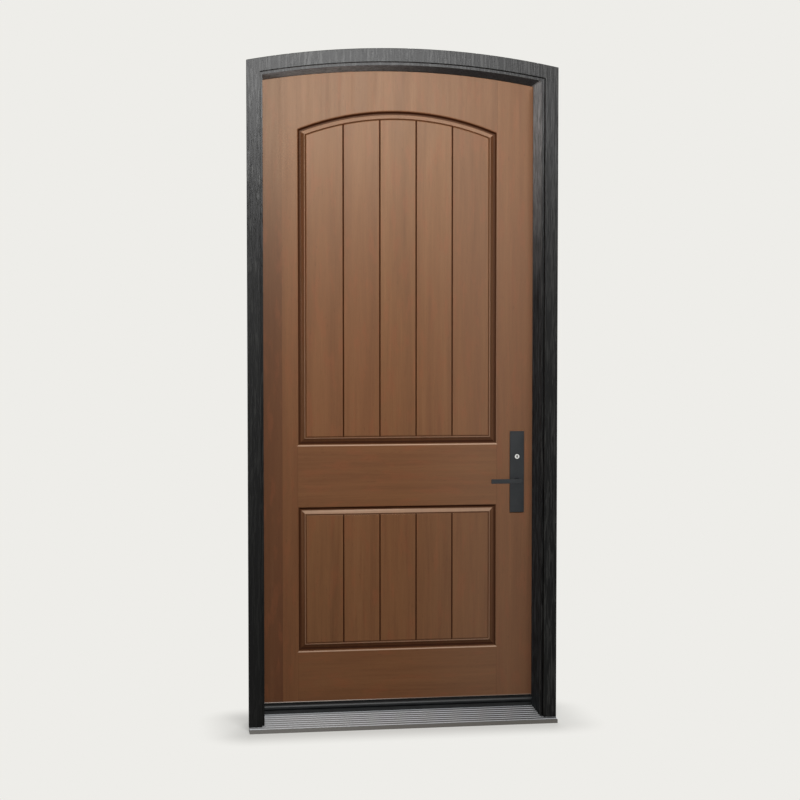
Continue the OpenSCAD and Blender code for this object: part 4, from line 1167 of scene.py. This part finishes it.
level_pitch = (level_high.x - level_low.x - 2 * LEVEL_HEAD_R) / (LEVEL_COUNT - 1)
level_x = [(i - LEVEL_COUNT // 2) * level_pitch for i in range(LEVEL_COUNT)]
make_screws("door_leaf_cross_screws", "door_leaf_screws", "door", "dark_bronze", TO_RIGHT,
            leaf_places("door", -SLAB_HALF), wood_screw(DOOR_SCREW_L))
make_screws("jamb_leaf_cross_screws", "jamb_leaf_screws", "frame", "dark_bronze", TO_LEFT,
            leaf_places("jamb", jamb_face), wood_screw(JAMB_SCREW_L))
make_screws("strike_cross_screws", "strike_screws", "frame", "plated_steel", TO_RIGHT,
            strike_places(strike_face), wood_screw(STRIKE_SCREW_L))
make_screws("faceplate_cross_screws", "faceplate_screws", "door", "plated_steel", TO_LEFT,
            [(SLAB_HALF, MID_Y, z) for z in FACEPLATE_SCREW_Z], wood_screw(DOOR_SCREW_L))
make_screws("threshold_cross_screws", "threshold_screws", "frame", "plated_steel", TO_FLOOR,
            [(x, MID_Y, level_high.z) for x in level_x],
            [(LEVEL_HEAD_R, 0), (LEVEL_HEAD_R, LEVEL_HEAD_T), (LEVEL_R, LEVEL_HEAD_T), (LEVEL_R, LEVEL_L)])
make_screws("escutcheon_cross_bolts", "escutcheon_bolts", "door", "dark_bronze", TO_OUTDOORS,
            [(LOCK_X, bolt_high.y, z) for z in PLATE_BOLT_Z],
            [(BOLT_HEAD_R, 0), (BOLT_R, BOLT_CONE), (BOLT_R, bolt_high.y - bolt_low.y)])

# %% [markdown]
# ## Floor and light
# The photograph has no horizon: a pale floor runs into a pale background. A floor that is only lit never
# matches its backdrop, so the camera sees the same pale colour in both. Near the door the floor turns into
# a darker lit floor, so the soft shadow under the sill is its own shading together with a painted shadow
# that fades with the distance from the sill. One wide soft lamp hangs in front, above the head of the door,
# and its light fades from the top of the door to its foot. A weak lamp low at the left has a narrow beam
# that lifts the soffit, and a third lamp lights the indoor side. The photograph shows hardly any shadow
# from the head or the lever, so these are left out of the shadows that the first lamp casts.

# %% Background
PALE = srgb(238, 237, 233)
DOME = (1.0, 0.99, 0.97)
DOME_STRENGTH = 0.115
studio = Finish("studio", "worlds")
scene.world = studio.owner
dome = studio.node("Background", {}, {"Color": DOME, "Strength": DOME_STRENGTH})
backdrop = studio.node("Background", {}, {"Color": PALE, "Strength": 1.0})
studio.mix(studio.seen(), dome, backdrop)
tell("background:", *PALE)

# %% Floor
FLOOR_HALF = 14.0
FLOOR_SHADE = 0.53
SHADE_REACH = 0.20
FLOOR_DULL = 0.6
sill_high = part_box("sill_base")[1]
SILL_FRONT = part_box("sill_deck")[0].y
bm = bmesh.new()
bmesh.ops.create_grid(bm, x_segments=1, y_segments=1, size=FLOOR_HALF)
floor_mesh = bpy.data.meshes.new("floor")
bm.to_mesh(floor_mesh)
bm.free()
floor = bpy.data.objects.new("floor", floor_mesh)
scene.collection.objects.link(floor)
floor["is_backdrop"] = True
ground = Finish("pale_floor")
x, y = ground.axes(ground.place())[:2]
past_x = (abs(x) - sill_high.x).most(0.0)
past_y = (SILL_FRONT - y).most(y - sill_high.y).most(0.0)
away = (past_x * past_x + past_y * past_y).root()
# Painted shadow: near the sill the floor mixes towards a darker lit floor, fading with the distance.
shaded = FLOOR_SHADE * (1 - ground.smooth(away, 0.0, SHADE_REACH))
lit = ground.node("BsdfDiffuse", {}, {"Color": tuple(FLOOR_DULL * v for v in PALE)})
glow = ground.node("Emission", {}, {"Color": PALE, "Strength": 1.0})
ground.mix(ground.seen() * (1 - shaded), lit, glow)
floor_mesh.materials.append(ground.owner)
tell("floor and its shade:", FLOOR_HALF, SHADE_REACH)

# %% Lamps
def soft_lamp(name, place, target, size, watts, spread=180):
    lamp = bpy.data.lights.new(name, "AREA")
    lamp.shape = "RECTANGLE"
    lamp.size, lamp.size_y = size
    lamp.energy = watts
    lamp.spread = math.radians(spread)
    return put_up(name, lamp, place, Vector(target) - Vector(place))


key = soft_lamp("key_softbox", place=(0.12, -4.2, 3.19), target=(0.4, 0.1, 3.19), size=(2.2, 0.9),
                watts=318)
soft_lamp("indoor_softbox", place=(0.8, 4.6, 2.9), target=(0.0, 0.2, 1.2), size=(2.4, 2.0), watts=260)
soft_lamp("side_softbox", place=(-2.6, -3.6, 0.9), target=(0.1, 0.1, 2.6), size=(1.2, 1.2), watts=8,
          spread=50)
print("lamps:", *bpy.data.lights.keys())

# %% What casts no shadow
NO_SHADOW = ("arched_head_casing", "head_jamb", "outdoor_lever")
shadow_set = bpy.data.collections.new("key_shadow_set")
for name in NO_SHADOW:
    shadow_set.objects.link(bpy.data.objects[name])
for item in shadow_set.collection_objects:
    item.light_linking.link_state = "EXCLUDE"
key.light_linking.blocker_collection = shadow_set
print("no shadow of the key lamp from", NO_SHADOW)

# %% [markdown]
# ## The size of the dressed door
# The box of the dressed door is printed, to set beside the box of the solids printed at the start. The
# dressed door has to stay inside the box of the solids.

# %% Sizes and finish
bpy.context.scene.view_settings.view_transform = "Standard"
dressed_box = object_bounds()
tell("dressed box:", *dressed_box[0], *dressed_box[1])
